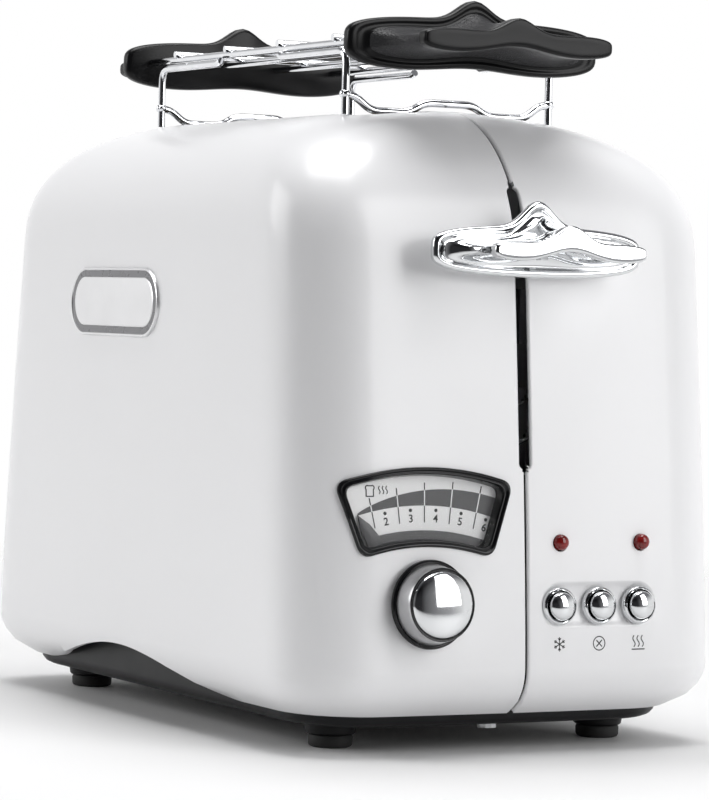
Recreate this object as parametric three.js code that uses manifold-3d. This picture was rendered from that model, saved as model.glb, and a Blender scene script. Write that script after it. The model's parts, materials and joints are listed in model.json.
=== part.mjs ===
// A two slice pop up toaster with a bun warming rack, as an assembly of separate parts.
// Millimetres. +Z is up and the floor is Z = 0. The controls face -Y, and +X is to the right of
// someone who stands in front of them. All parts are modelled around the middle of the body, and
// the whole assembly is then moved along Y so that its own box is centred on the origin.
import * as THREE from 'three';
import { mergeVertices } from 'three/addons/utils/BufferGeometryUtils.js';
import Module from 'manifold-3d';

const wasm = await Module();
wasm.setup();

// ---------------------------------------------------------------- driving dimensions

const bodyWidth = 160;
const bodyLength = 261;
const bodyHeight = 206;
const shellWall = 1.6;
const shellBottom = 12.2;
const seamGap = 0.5;
const planCornerRadius = 25;
const faceBulge = 0.8;
const tuckRadius = 16;
const tuckHeight = 27;
const sideLean = 1.9;
const shoulderRise = 41;
const sideShoulder = { start: bodyHeight - shoulderRise, ridgeHalf: 2, power: 2.55 };
const endShoulderRadius = 46;
const endLean = { rate: 0.0242, power: 1.25, start: 25 };
const archHalfLength = 77;
const archHeight = 24;
const archCentre = 8;

const clearance = 0.3;

const baseFloor = 8.3;
const baseThickness = 2.5;
const baseTop = 26;
const footing = baseFloor + baseThickness + clearance;
const footX = bodyWidth / 2 - 29.7;
const footY = bodyLength / 2 - 37.5;
const screwY = footY + 13;
const footRadius = 7.2;
const footHeight = 4;
const footCollarRadius = 8;

const slotCentreX = 22;
const slotWidth = 28;
const slotHalfLength = 75;
const slotCornerRadius = 6;

const leverSlotWidth = 4;
const leverTravel = 62;
const leverLift = 14;
const leverSlotEnd = 7;
const leverSlotTop = bodyHeight - 25.5;
const leverHeight = leverSlotTop - leverLift - leverSlotEnd;
const leverSlotBottom = leverHeight - leverTravel - leverSlotEnd;
const leverStandOff = bodyLength / 2 - 3;
const stemThickness = 2.4;
const stemHeight = 9;

const panelHeight = 63;
const panelTilt = 4.2 * Math.PI / 180;

const gaugeX = -36;
const gaugeTopRadius = 98;
const gaugeBottomRadius = 73;
const gaugeTop = 91.2;
const gaugeHalfAngle = 18.5 * Math.PI / 180;
const gaugeCornerRadius = 4;
const bezelWidth = 3.2;
const bezelProud = 1.3;
const lensThickness = 0.8;
const needlePivotHeight = 24;
const needleStart = -24 * Math.PI / 180;
const needleEnd = 20 * Math.PI / 180;
const needleTipRadius = 57.5;

const knobHeight = 48;
const knobRadius = 10.8;
const knobProud = 10;
const skirtRadius = 13.8;
const knobShaftRadius = 3;
const pinionRadius = 4.6;
const pinionTeeth = 8;

const lampHeight = 67.3;
const lampX = [12.7, 43.2];
const lampRadius = 2.5;

const buttonX = [12, 27, 42];
const buttonHeight = 47;
const buttonRadius = 4.6;
const buttonRingRadius = 6;
const buttonTravel = 2;

const badgeCentre = { y: 18, z: 140.3 };
const badgeSize = { length: 71, height: 23.5, thickness: 1.2 };

const chassisY = bodyLength / 2 - 46.5;
const chassisHalfWidth = bodyWidth / 2 - 20;
const chassisTop = bodyHeight - 22;
const sheet = 1;
const heaterBottom = 54;
const heaterTop = chassisTop - 6;
const boardThickness = 0.8;
const outerBoardX = 2 * slotCentreX;
const guardOffset = slotWidth / 2 + 1.2;
const guardWireRadius = 0.9;

const carriageY = -(bodyLength / 2 - 32.5);
const carriageThickness = 6;
const guideRodX = 14;
const guideRodRadius = 2.5;
const lifterRest = leverHeight - 37.5;

const trayHalfWidth = chassisHalfWidth - 8;
const trayBottom = 28.5;
const trayDepth = 8;

const wireRadius = 1.3;
const rackHalfWidth = slotCentreX + slotWidth / 2 + 2 * wireRadius;
const rackLegY = slotHalfLength - 5;
const rackArmEnd = 26;
const rackArmHeight = bodyHeight + 18;
const rackCrossHeight = bodyHeight + 4;
const rackDipHeight = bodyHeight - 1.1;
const rackRidgeHeight = bodyHeight + 2.4;
const rackHandleY = rackLegY + 12;

// ---------------------------------------------------------------- solids and helpers

function toSolid(geometry) {
  const bare = geometry.index ? geometry.toNonIndexed() : geometry.clone();
  bare.deleteAttribute('normal');
  bare.deleteAttribute('uv');
  const merged = mergeVertices(bare, 1e-4);
  const triangles = [];
  const index = merged.index.array;
  for (let i = 0; i < index.length; i += 3) {
    const [a, b, c] = [index[i], index[i + 1], index[i + 2]];
    if (a !== b && b !== c && c !== a) triangles.push(a, b, c);
  }
  const mesh = new wasm.Mesh({
    numProp: 3,
    vertProperties: new Float32Array(merged.attributes.position.array),
    triVerts: new Uint32Array(triangles),
  });
  return new wasm.Manifold(mesh);
}

function toGeometry(solid) {
  const mesh = solid.getMesh();
  const geometry = new THREE.BufferGeometry();
  geometry.setAttribute('position', new THREE.BufferAttribute(new Float32Array(mesh.vertProperties), 3));
  geometry.setIndex(new THREE.BufferAttribute(new Uint32Array(mesh.triVerts), 1));
  geometry.computeVertexNormals();
  return geometry;
}

const join = (...solids) => solids.reduce((all, next) => all.add(next));
const cut = (solid, ...tools) => tools.reduce((rest, tool) => rest.subtract(tool), solid);

// A box given by its lowest and highest corners.
function box(lo, hi) {
  const size = hi.map((value, k) => value - lo[k]);
  const geometry = new THREE.BoxGeometry(...size);
  geometry.translate(...hi.map((value, k) => (value + lo[k]) / 2));
  return toSolid(geometry);
}

// A vertical cylinder.
function post(x, y, z0, z1, radius, sides = 14) {
  const geometry = new THREE.CylinderGeometry(radius, radius, z1 - z0, sides);
  geometry.rotateX(Math.PI / 2);
  geometry.translate(x, y, (z0 + z1) / 2);
  return toSolid(geometry);
}

// A turned part: the profile lists [radius, depth], and depth runs along -Y from the start.
function turned(profile, sides = 20) {
  const points = profile.map(([radius, depth]) => new THREE.Vector2(radius, -depth));
  const solid = toSolid(new THREE.LatheGeometry(points, sides));
  if (solid.volume() > 0) return solid;
  return turned([...profile].reverse(), sides);
}

// An outline drawn in X and Z, extruded along Y from yBack forward to yFront (yFront < yBack).
function prismY(shape, yBack, yFront, curveSegments = 6) {
  const options = { depth: yBack - yFront, bevelEnabled: false, curveSegments };
  const geometry = new THREE.ExtrudeGeometry(shape, options);
  geometry.rotateX(Math.PI / 2);
  geometry.translate(0, yBack, 0);
  return toSolid(geometry);
}

// An outline drawn in X and Y, extruded upward.
function prismZ(shape, z0, z1, curveSegments = 4) {
  const options = { depth: z1 - z0, bevelEnabled: false, curveSegments };
  const geometry = new THREE.ExtrudeGeometry(shape, options);
  geometry.translate(0, 0, z0);
  return toSolid(geometry);
}

// A rectangle with rounded corners, centred on (cx, cy).
function roundedRectangle(cx, cy, width, height, radius) {
  const [x0, x1] = [cx - width / 2, cx + width / 2];
  const [y0, y1] = [cy - height / 2, cy + height / 2];
  const shape = new THREE.Shape();
  shape.moveTo(x0 + radius, y0);
  shape.lineTo(x1 - radius, y0);
  shape.absarc(x1 - radius, y0 + radius, radius, -Math.PI / 2, 0);
  shape.lineTo(x1, y1 - radius);
  shape.absarc(x1 - radius, y1 - radius, radius, 0, Math.PI / 2);
  shape.lineTo(x0 + radius, y1);
  shape.absarc(x0 + radius, y1 - radius, radius, Math.PI / 2, Math.PI);
  shape.lineTo(x0, y0 + radius);
  shape.absarc(x0 + radius, y0 + radius, radius, Math.PI, 1.5 * Math.PI);
  return shape;
}

function circle(x, y, radius) {
  const shape = new THREE.Shape();
  shape.absarc(x, y, radius, 0, 2 * Math.PI);
  return shape;
}

// A closed skin through rings with equal point counts, ends capped. Each ring is flat, and flatten
// drops it to two dimensions for its cap.
function loft(rings, flatten) {
  const count = rings[0].length;
  const positions = rings.flat().flatMap((p) => [p.x, p.y, p.z]);
  const index = [];
  for (let r = 0; r + 1 < rings.length; r += 1) {
    for (let k = 0; k < count; k += 1) {
      const a = r * count + k;
      const b = r * count + (k + 1) % count;
      index.push(a, b, b + count, a, b + count, a + count);
    }
  }
  const last = (rings.length - 1) * count;
  const startCap = THREE.ShapeUtils.triangulateShape(rings[0].map(flatten), []);
  const endCap = THREE.ShapeUtils.triangulateShape(rings[rings.length - 1].map(flatten), []);
  startCap.forEach(([a, b, c]) => index.push(c, b, a));
  endCap.forEach(([a, b, c]) => index.push(last + a, last + b, last + c));
  const geometry = new THREE.BufferGeometry();
  geometry.setAttribute('position', new THREE.Float32BufferAttribute(positions, 3));
  geometry.setIndex(index);
  return toSolid(geometry);
}

// A round wire through corner points, each corner rounded by the bend.
function wire(points, radius, bend, stepLength, sides = 6) {
  const path = new THREE.CurvePath();
  const corners = points.map((p) => new THREE.Vector3(...p));
  let from = corners[0];
  for (let k = 1; k < corners.length; k += 1) {
    const corner = corners[k];
    const next = corners[k + 1];
    if (!next) {
      path.add(new THREE.LineCurve3(from, corner));
      break;
    }
    const cutBack = Math.min(bend, corner.distanceTo(from) * 0.45, corner.distanceTo(next) * 0.45);
    const before = corner.clone().add(from.clone().sub(corner).setLength(cutBack));
    const after = corner.clone().add(next.clone().sub(corner).setLength(cutBack));
    path.add(new THREE.LineCurve3(from, before));
    path.add(new THREE.QuadraticBezierCurve3(before, corner, after));
    from = after;
  }
  const section = new THREE.Shape();
  section.absarc(0, 0, radius, 0, 2 * Math.PI);
  const steps = Math.max(1, Math.round(path.getLength() / stepLength));
  const options = { steps, extrudePath: path, curveSegments: sides / 2, bevelEnabled: false };
  const solid = toSolid(new THREE.ExtrudeGeometry(section, options));
  return solid;
}

// A straight round bar between two points.
function rod(from, to, radius, sides = 8) {
  const [a, b] = [new THREE.Vector3(...from), new THREE.Vector3(...to)];
  const geometry = new THREE.CylinderGeometry(radius, radius, a.distanceTo(b), sides);
  const along = b.clone().sub(a).normalize();
  const turn = new THREE.Quaternion().setFromUnitVectors(new THREE.Vector3(0, 1, 0), along);
  geometry.applyQuaternion(turn);
  geometry.translate(...a.add(b).multiplyScalar(0.5).toArray());
  return toSolid(geometry);
}

// ---------------------------------------------------------------- finishes

const finish = (color, roughness, metalness) => ({ color, roughness, metalness });
const white = finish(0xe9e9ea, 0.35, 0.1);
const blackPlastic = finish(0x17171a, 0.5, 0);
const glossBlack = finish(0x101012, 0.2, 0);
const chrome = finish(0xd8dadd, 0.08, 1);
const steel = finish(0xa9adb2, 0.35, 1);
const rubber = finish(0x1c1c1e, 0.8, 0);
const mica = finish(0xb7a88a, 0.6, 0);
const circuitGreen = finish(0x2c6b46, 0.5, 0);
const copper = finish(0xb2703a, 0.35, 1);
const clear = finish(0xeef3f5, 0.05, 0);
const dialWhite = finish(0xf2f2ee, 0.5, 0);
const lampRed = finish(0x8c1010, 0.15, 0);

function part(name, solid, look) {
  const material = new THREE.MeshStandardMaterial(look);
  const mesh = new THREE.Mesh(toGeometry(solid), material);
  mesh.name = name;
  return mesh;
}

// ---------------------------------------------------------------- the body's form

const endShoulderStart = bodyHeight - endShoulderRadius;
const leanRun = bodyHeight - tuckHeight;

// How far the bottom edge tucks in at a height.
function tuckInset(z) {
  if (z >= tuckHeight) return 0;
  const drop = Math.min(tuckHeight - z, tuckHeight - shellBottom);
  return tuckRadius - Math.sqrt(tuckRadius ** 2 - drop ** 2);
}

const endLeanAt = (z) => endLean.rate * Math.max(0, z - endLean.start) ** endLean.power;
const sideLeanAt = (z) => sideLean * Math.max(0, z - tuckHeight) / leanRun;

// How far the long sides stand in from the full width at a height.
function sideInset(z) {
  const reach = bodyWidth / 2 - sideLean - sideShoulder.ridgeHalf;
  const u = Math.min(1, Math.max(0, (z - sideShoulder.start) / shoulderRise));
  const round = reach * (1 - (1 - u ** sideShoulder.power) ** (1 / sideShoulder.power));
  return tuckInset(z) + sideLeanAt(z) + round;
}

// How far the two ends stand in from the full length at a height.
function endInset(z) {
  const u = Math.min(1, Math.max(0, (z - endShoulderStart) / endShoulderRadius));
  const round = endShoulderRadius * (1 - Math.sqrt(1 - u * u));
  return tuckInset(z) + endLeanAt(z) + round;
}

// One level ring of the body, grown outward by grow.
function bodyRing(formZ, z, grow) {
  const halfX = bodyWidth / 2 + grow - sideInset(formZ);
  const halfY = bodyLength / 2 + grow - faceBulge - endInset(formZ);
  const radius = Math.min(planCornerRadius + grow, halfX - 0.6, halfY - 0.6);
  const cornerSteps = 5;
  const sideSteps = 4;
  const flatX = halfX - radius;
  const flatY = halfY - radius;
  const points = [];
  const bulge = (t) => faceBulge * (1 - t * t);
  for (let quarter = 0; quarter < 4; quarter += 1) {
    const alongEnd = quarter % 2 === 1;
    const turn = quarter * Math.PI / 2;
    const corner = [[1, -1], [1, 1], [-1, 1], [-1, -1]][quarter];
    for (let k = 0; k <= cornerSteps; k += 1) {
      const angle = turn - Math.PI / 2 + k * Math.PI / 2 / cornerSteps;
      const x = corner[0] * flatX + radius * Math.cos(angle);
      const y = corner[1] * flatY + radius * Math.sin(angle);
      points.push(new THREE.Vector3(x, y, z));
    }
    for (let k = 1; k < sideSteps; k += 1) {
      const t = 1 - 2 * k / sideSteps;
      if (alongEnd) {
        const y = corner[1] * (halfY + bulge(t));
        points.push(new THREE.Vector3(corner[0] * flatX * t, y, z));
      } else if (quarter === 0) {
        points.push(new THREE.Vector3(halfX, -flatY * t, z));
      } else {
        points.push(new THREE.Vector3(-halfX, flatY * t, z));
      }
    }
  }
  return points;
}

// The body's solid form, grown outward by grow, from a bottom height up.
function bodyForm(grow, bottom = shellBottom) {
  const rings = [];
  const stretch = (shoulderRise + grow) / shoulderRise;
  const add = (formZ, z) => rings.push(bodyRing(formZ, z, grow));
  if (bottom < shellBottom) add(shellBottom, bottom);
  const tuckSteps = 3;
  for (let k = 0; k <= tuckSteps; k += 1) {
    const share = Math.sin(k * Math.PI / 2 / tuckSteps);
    const z = shellBottom + (tuckHeight - shellBottom) * share;
    add(z, z);
  }
  const wallTop = endShoulderStart - 10;
  [0.35, 0.675, 1].map((share) => tuckHeight + (wallTop - tuckHeight) * share).forEach((z) => add(z, z));
  const shoulderSteps = 9;
  for (let k = 0; k <= shoulderSteps; k += 1) {
    const u = Math.sin(k * Math.PI / 2 / shoulderSteps) ** (2 / sideShoulder.power);
    add(sideShoulder.start + shoulderRise * u, sideShoulder.start + shoulderRise * stretch * u);
  }
  return loft(rings, (p) => new THREE.Vector2(p.x, p.y));
}

// The surface height of the body's top over a distance from its middle line.
function topHeight(x) {
  const reach = bodyWidth / 2 - sideLean - sideShoulder.ridgeHalf;
  const round = Math.min(1, (bodyWidth / 2 - sideLean - Math.abs(x)) / reach);
  const u = (1 - (1 - round) ** sideShoulder.power) ** (1 / sideShoulder.power);
  return sideShoulder.start + shoulderRise * u;
}

// A layer that follows the body's surface, between two distances outside it.
const surfaceLayer = (inner, outer) => cut(bodyForm(outer), bodyForm(inner, 0));

// ---------------------------------------------------------------- the tilted control panel

// The controls stand square to the front face, which leans back a little. Their common frame has
// its origin on the surface at the panel's height, and its -Y is the outward normal.
const panelY = -(bodyLength / 2 - endLeanAt(panelHeight));
const panel = new THREE.Group();
panel.position.set(0, panelY, panelHeight);
panel.rotation.x = -panelTilt;
panel.updateMatrix();

// A height on the panel, as its local height.
const onPanel = (z) => (z - panelHeight) / Math.cos(panelTilt);

function fromPanel(solid) {
  return solid.transform(panel.matrix.toArray());
}

const panelRod = (x, z, back, front, radius, sides = 20) => {
  const shape = circle(x, onPanel(z), radius);
  return prismY(shape, back, front, sides / 2);
};

// ---------------------------------------------------------------- gauge outlines

// The gauge's outline is a slice of a ring, widened or narrowed by grow, with rounded corners.
function gaugeOutline(grow, corner) {
  const centre = gaugeTop - gaugeTopRadius;
  const outer = gaugeTopRadius + grow;
  const inner = gaugeBottomRadius - grow;
  const edge = (radius, side) => {
    const angle = side * (gaugeHalfAngle + grow / radius);
    return [gaugeX + radius * Math.sin(angle), centre + radius * Math.cos(angle)];
  };
  const corners = [edge(inner, -1), edge(inner, 1), edge(outer, 1), edge(outer, -1)];
  const bulges = [1, 0, 1, 0];
  const shape = new THREE.Shape();
  const arcSteps = 8;
  corners.forEach((from, k) => {
    const to = corners[(k + 1) % 4];
    const points = [];
    for (let i = 0; i <= arcSteps; i += 1) {
      const t = i / arcSteps;
      const [x, z] = [from[0] + (to[0] - from[0]) * t, from[1] + (to[1] - from[1]) * t];
      if (bulges[k]) {
        const radius = k === 0 ? inner : outer;
        const reach = Math.hypot(x - gaugeX, z - centre);
        points.push([gaugeX + (x - gaugeX) * radius / reach, centre + (z - centre) * radius / reach]);
      } else {
        points.push([x, z]);
      }
    }
    const length = Math.hypot(to[0] - from[0], to[1] - from[1]);
    const skip = corner / length;
    const kept = points.filter((_, i) => i / arcSteps >= skip && i / arcSteps <= 1 - skip);
    kept.forEach(([x, z], i) => {
      if (i === 0 && k > 0) shape.quadraticCurveTo(from[0], from[1], x, z);
      else if (i === 0) shape.moveTo(x, z);
      else shape.lineTo(x, z);
    });
  });
  const first = shape.getPoint(0);
  shape.quadraticCurveTo(corners[0][0], corners[0][1], first.x, first.y);
  return shape;
}

// Depths that reach from inside the body to well outside its ends and sides.
const insideEnd = bodyLength / 2 - 30;
const outsideEnd = bodyLength / 2 + 20;

const gaugePrism = (grow, corner) => prismY(gaugeOutline(grow, corner), -insideEnd, -outsideEnd, 3);

// ---------------------------------------------------------------- cuts through the shell

// A toast slot's outline as seen from above.
const slotOutline = (side, grow) => roundedRectangle(
  side * slotCentreX, 0, slotWidth + 2 * grow, 2 * slotHalfLength + 2 * grow, slotCornerRadius + grow);

function leverSlotTool() {
  const half = leverSlotWidth / 2;
  const shape = roundedRectangle(
    0, (leverSlotBottom + leverSlotTop) / 2, leverSlotWidth, leverSlotTop - leverSlotBottom, half * 0.98);
  return prismY(shape, -insideEnd, -outsideEnd, 4);
}

// The arch that lifts the lower edge along both long sides.
function archTool() {
  const shape = new THREE.Shape();
  const steps = 20;
  shape.moveTo(archCentre - archHalfLength, shellBottom - 6);
  for (let k = 0; k <= steps; k += 1) {
    const t = -1 + 2 * k / steps;
    const rise = (archHeight - shellBottom) * Math.cos(t * Math.PI / 2) ** 1.5;
    shape.lineTo(archCentre + t * archHalfLength, shellBottom + rise);
  }
  shape.lineTo(archCentre + archHalfLength, shellBottom - 6);
  const geometry = new THREE.ExtrudeGeometry(shape, { depth: 2 * bodyWidth, bevelEnabled: false });
  geometry.rotateX(Math.PI / 2);
  geometry.rotateZ(Math.PI / 2);
  geometry.translate(-bodyWidth, 0, 0);
  return toSolid(geometry);
}

const trayMouth = { half: trayHalfWidth + 2, bottom: trayBottom - 1, top: trayBottom + trayDepth + 1 };
const glandPlace = { x: -45, z: 54, radius: 6 };

function badgeOutline(grow) {
  const height = badgeSize.height + 2 * grow;
  return roundedRectangle(
    badgeCentre.y, badgeCentre.z, badgeSize.length + 2 * grow, height, height * 0.42);
}

// The badge outline extruded along X, out of the left side.
function badgePrism(grow) {
  const depth = 30;
  const geometry = new THREE.ExtrudeGeometry(
    badgeOutline(grow), { depth, bevelEnabled: false, curveSegments: 6 });
  geometry.rotateX(Math.PI / 2);
  geometry.rotateZ(Math.PI / 2);
  geometry.translate(-bodyWidth / 2 - depth / 2, 0, 0);
  return toSolid(geometry);
}

function shells() {
  const skin = cut(bodyForm(0), bodyForm(-shellWall, 0));
  const buttonMiddle = (buttonX[0] + buttonX[buttonX.length - 1]) / 2;
  const pocketWidth = buttonX[buttonX.length - 1] - buttonX[0] + 2 * buttonRingRadius + 3;
  const pocketHeight = 2 * buttonRingRadius + 4;
  const pocketShape = roundedRectangle(
    buttonMiddle, onPanel(buttonHeight + 1), pocketWidth, pocketHeight, pocketHeight * 0.48);
  const pocket = cut(fromPanel(prismY(pocketShape, 6, -6)), bodyForm(-0.8, 0));
  const shaftHole = fromPanel(panelRod(gaugeX, knobHeight, 12, -6, knobShaftRadius + 1));
  const lampHoles = lampX.map((x) => fromPanel(panelRod(x, lampHeight, 12, -6, lampRadius + clearance)));
  const buttonHoles = buttonX.map(
    (x) => fromPanel(panelRod(x, buttonHeight, 12, -6, buttonRingRadius - 1 + clearance)));
  const mouth = box(
    [-trayMouth.half, insideEnd, trayMouth.bottom], [trayMouth.half, outsideEnd, trayMouth.top]);
  const glandHole = prismY(
    circle(glandPlace.x, glandPlace.z, glandPlace.radius + clearance), outsideEnd, insideEnd, 12);
  const badgeSeat = badgePrism(clearance).subtract(bodyForm(-0.6, 0));
  const slots = [-1, 1].map((side) => prismZ(slotOutline(side, 0), chassisTop, bodyHeight + 10));
  const far = 2 * bodyLength;
  const seam = box([-seamGap / 2, -far, -far], [seamGap / 2, far, far]);
  const whole = cut(
    skin, ...slots, leverSlotTool(), archTool(), gaugePrism(clearance, gaugeCornerRadius + clearance),
    pocket, shaftHole, ...lampHoles, ...buttonHoles, mouth, glandHole, badgeSeat, seam);
  const leftSide = box([-far, -far, -far], [0, far, far]);
  const rightSide = box([0, -far, -far], [far, far, far]);
  return [
    part('left_shell', whole.intersect(leftSide), white),
    part('right_shell', whole.intersect(rightSide), white),
  ];
}

// ---------------------------------------------------------------- base and feet

const baseInset = shellWall + clearance;

// The base tray's outline at the shell's lower edge, shrunk by inset.
function baseRing(z, inset) {
  return bodyRing(shellBottom, z, -baseInset - inset);
}

function baseTray() {
  const flat = (p) => new THREE.Vector2(p.x, p.y);
  const outer = loft(
    [baseRing(baseFloor, 3), baseRing(baseFloor + 1, 1), baseRing(baseFloor + 3, 0), baseRing(baseTop, 0)],
    flat);
  const inner = loft(
    [baseRing(baseFloor + baseThickness, 4), baseRing(baseTop + 5, baseThickness)], flat);
  const collars = footPlaces().map(([x, y]) => post(x, y, footHeight, baseFloor + 1, footCollarRadius));
  const bores = footPlaces().map(([x, y]) => post(x, y, 0, baseFloor - 0.3, footRadius - 2.2));
  const screwHoles = screwPlaces().map(([x, y]) => post(x, y, 0, baseFloor + 5, 1.9, 12));
  const vents = [];
  for (let k = -3; k <= 3; k += 1) {
    vents.push(box([-34, k * 16 - 2.5, 0], [34, k * 16 + 2.5, baseFloor + 5]));
  }
  return part('base_tray', cut(join(cut(outer, inner), ...collars), ...bores, ...screwHoles, ...vents),
    blackPlastic);
}

function footPlaces() {
  return [[-footX, -footY], [footX, -footY], [-footX, footY], [footX, footY]];
}

function screwPlaces() {
  return [[0, -screwY], [0, screwY]];
}

function feet() {
  const names = ['foot_front_left', 'foot_front_right', 'foot_rear_left', 'foot_rear_right'];
  return footPlaces().map(([x, y], k) => {
    const profile = [[0, 0], [footRadius - 1, 0], [footRadius, 1], [footRadius, footHeight - clearance]];
    profile.push([footRadius - 2.5, footHeight - clearance], [footRadius - 2.5, baseFloor - 0.9]);
    profile.push([0, baseFloor - 0.9]);
    const pad = turned(profile, 14).rotate([-90, 0, 0]).translate([x, y, 0]);
    return part(names[k], pad, rubber);
  });
}

function baseScrews() {
  return screwPlaces().map(([x, y], k) => {
    const head = post(x, y, baseFloor - 2.2, baseFloor - clearance, 3.2, 10);
    const shank = post(x, y, baseFloor - 1, baseFloor + 7, 1.5, 8);
    const slot = box([x - 2.4, y - 0.4, baseFloor - 3], [x + 2.4, y + 0.4, baseFloor - 1.5]);
    return part(['base_screw_front', 'base_screw_rear'][k], cut(join(head, shank), slot), steel);
  });
}

// ---------------------------------------------------------------- gauge

function gauge() {
  const window = gaugePrism(-bezelWidth, gaugeCornerRadius - 1);
  const bezelDepth = shellWall - 0.4;
  const rim = surfaceLayer(-bezelDepth, bezelProud);
  const bezel = cut(gaugePrism(0, gaugeCornerRadius).intersect(rim), window);
  const lensOutline = gaugePrism(-bezelWidth - clearance, gaugeCornerRadius - 1.2);
  const lens = lensOutline.intersect(surfaceLayer(-lensThickness + 0.2, 0.2));
  return [part('gauge_bezel', bezel, glossBlack), part('gauge_lens', lens, clear)];
}

// Depths of the layers behind the panel's plane.
const needleDepth = { front: 3, back: 3.4 };
const dialDepth = { front: 3.7, back: 4.4 };
const sectorDepth = { front: 5.8, back: 6.5 };
const frameDepth = { front: 7, back: 8.8 };
const boardDepth = { front: 20, back: 21.6 };

// A gauge outline in the panel's own frame.
function panelOutline(grow, corner) {
  const points = gaugeOutline(grow, corner).getPoints(3);
  return new THREE.Shape(points.map((p) => new THREE.Vector2(p.x, onPanel(p.y))));
}

function dial() {
  const outline = panelOutline(-bezelWidth - 0.4, gaugeCornerRadius - 1);
  return part('gauge_dial', prismY(outline, dialDepth.back, dialDepth.front), dialWhite);
}

// The knob's pinion runs inside the needle's toothed sector.
const pivotLocal = onPanel(needlePivotHeight);
const pinionDistance = onPanel(knobHeight) - pivotLocal;
const meshRadius = pinionDistance + pinionRadius;
const toothPitch = 2 * Math.PI / pinionTeeth * pinionRadius / meshRadius;
const toothTip = 0.7;
const toothRoot = 1;

// A point at a radius from the needle's pivot, at an angle clockwise from straight up.
const aboutPivot = (radius, angle) => [
  gaugeX + radius * Math.sin(angle), pivotLocal + radius * Math.cos(angle)];

function ringSlice(inner, outer, from, to, steps = 14) {
  const shape = new THREE.Shape();
  shape.moveTo(...aboutPivot(inner, from));
  for (let k = 1; k <= steps; k += 1) shape.lineTo(...aboutPivot(inner, from + (to - from) * k / steps));
  for (let k = 0; k <= steps; k += 1) shape.lineTo(...aboutPivot(outer, to + (from - to) * k / steps));
  return shape;
}

// The needle: a blade in front of the dial, a riser below the dial, and behind it a toothed sector
// whose window lets the knob's shaft through.
function needle() {
  const margin = Math.asin((pinionRadius + toothTip + 0.5) / pinionDistance);
  const bar = 0.06;
  const from = needleStart - needleEnd - margin;
  const to = margin;
  const rim = 3;
  const web = 3;
  const outerEdge = meshRadius + toothTip + 0.6;
  const innerEdge = pinionDistance - pinionRadius - toothTip - 0.9;
  const { back, front } = sectorDepth;
  const plate = prismY(ringSlice(innerEdge - web, outerEdge + rim, from - bar, to + bar), back, front);
  const opening = prismY(ringSlice(innerEdge, outerEdge, from, to), back + 1, front - 1);
  const teeth = [];
  const half = toothPitch * 0.14;
  for (let angle = 0; angle > needleStart - needleEnd - toothPitch; angle -= toothPitch) {
    const tooth = ringSlice(meshRadius - toothTip, outerEdge + 0.5, angle - half, angle + half, 2);
    teeth.push(prismY(tooth, back, front));
  }
  const hub = prismY(circle(gaugeX, pivotLocal, 3.4), back, front, 8);
  const spoke = prismY(ringSlice(2.5, innerEdge - 1, needleStart - 0.16, needleStart + 0.16, 3), back, front);
  const bore = prismY(circle(gaugeX, pivotLocal, 1.6), back + 1, front - 1, 8);
  const spread = 0.05;
  const riser = prismY(
    ringSlice(outerEdge + 0.6, outerEdge + rim, needleStart - spread, needleStart + spread, 3),
    back, needleDepth.front);
  const blade = new THREE.Shape();
  blade.moveTo(...aboutPivot(outerEdge + 0.6, needleStart + spread));
  blade.lineTo(...aboutPivot(needleTipRadius - 8, needleStart + 0.6 * spread));
  blade.lineTo(...aboutPivot(needleTipRadius, needleStart));
  blade.lineTo(...aboutPivot(needleTipRadius - 8, needleStart - 0.6 * spread));
  blade.lineTo(...aboutPivot(outerEdge + 0.6, needleStart - spread));
  const arm = prismY(blade, needleDepth.back, needleDepth.front);
  const sector = cut(plate, opening);
  return part('gauge_needle', cut(join(sector, ...teeth, hub, spoke, riser, arm), bore), blackPlastic);
}

// ---------------------------------------------------------------- knob

const skirtThickness = 2.2;
const skirtGap = 0.8;

function knob() {
  const skirt = turned([
    [knobShaftRadius + 0.6, 0], [skirtRadius - 0.6, 0], [skirtRadius, 0.6], [skirtRadius, skirtThickness - 0.5],
    [skirtRadius - 0.8, skirtThickness], [knobShaftRadius + 0.6, skirtThickness],
    [knobShaftRadius + 0.6, 0]], 28);
  const capHeight = knobProud - skirtThickness - clearance;
  const cap = turned([
    [0, 0], [knobRadius - 0.3, 0], [knobRadius, 0.5], [knobRadius - 0.4, capHeight - 2.2],
    [knobRadius - 1.3, capHeight - 1], [knobRadius - 4, capHeight - 0.3], [0, capHeight]], 28);
  const socket = turned([[0, -1], [knobShaftRadius, -1], [knobShaftRadius, 5], [0, 5]], 14);
  const capBack = -skirtGap - skirtThickness - clearance;
  const shaft = rod([0, capBack - 4.7, 0], [0, frameDepth.back + 6, 0], knobShaftRadius - clearance, 14);
  const place = (solid, y) => solid.translate([gaugeX, y, onPanel(knobHeight)]);
  return [
    part('knob_skirt', place(skirt, -skirtGap), blackPlastic),
    part('knob_cap', place(cut(cap, socket), capBack), chrome),
    part('knob_shaft', place(join(shaft, pinion()), 0), steel),
  ];
}

function pinion() {
  const shape = new THREE.Shape();
  const pitch = 2 * Math.PI / pinionTeeth;
  const [tip, root] = [pinionRadius + toothTip, pinionRadius - toothRoot];
  for (let tooth = 0; tooth < pinionTeeth; tooth += 1) {
    const middle = Math.PI / 2 + (tooth + 0.5) * pitch;
    const profile = [[root, -0.24], [tip, -0.1], [tip, 0.1], [root, 0.24]];
    profile.forEach(([radius, offset], k) => {
      const p = [radius * Math.cos(middle + offset), radius * Math.sin(middle + offset)];
      if (tooth === 0 && k === 0) shape.moveTo(...p);
      else shape.lineTo(...p);
    });
  }
  return prismY(shape, sectorDepth.back + 0.2, sectorDepth.front - 0.2);
}

// ---------------------------------------------------------------- lamps and buttons

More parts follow.
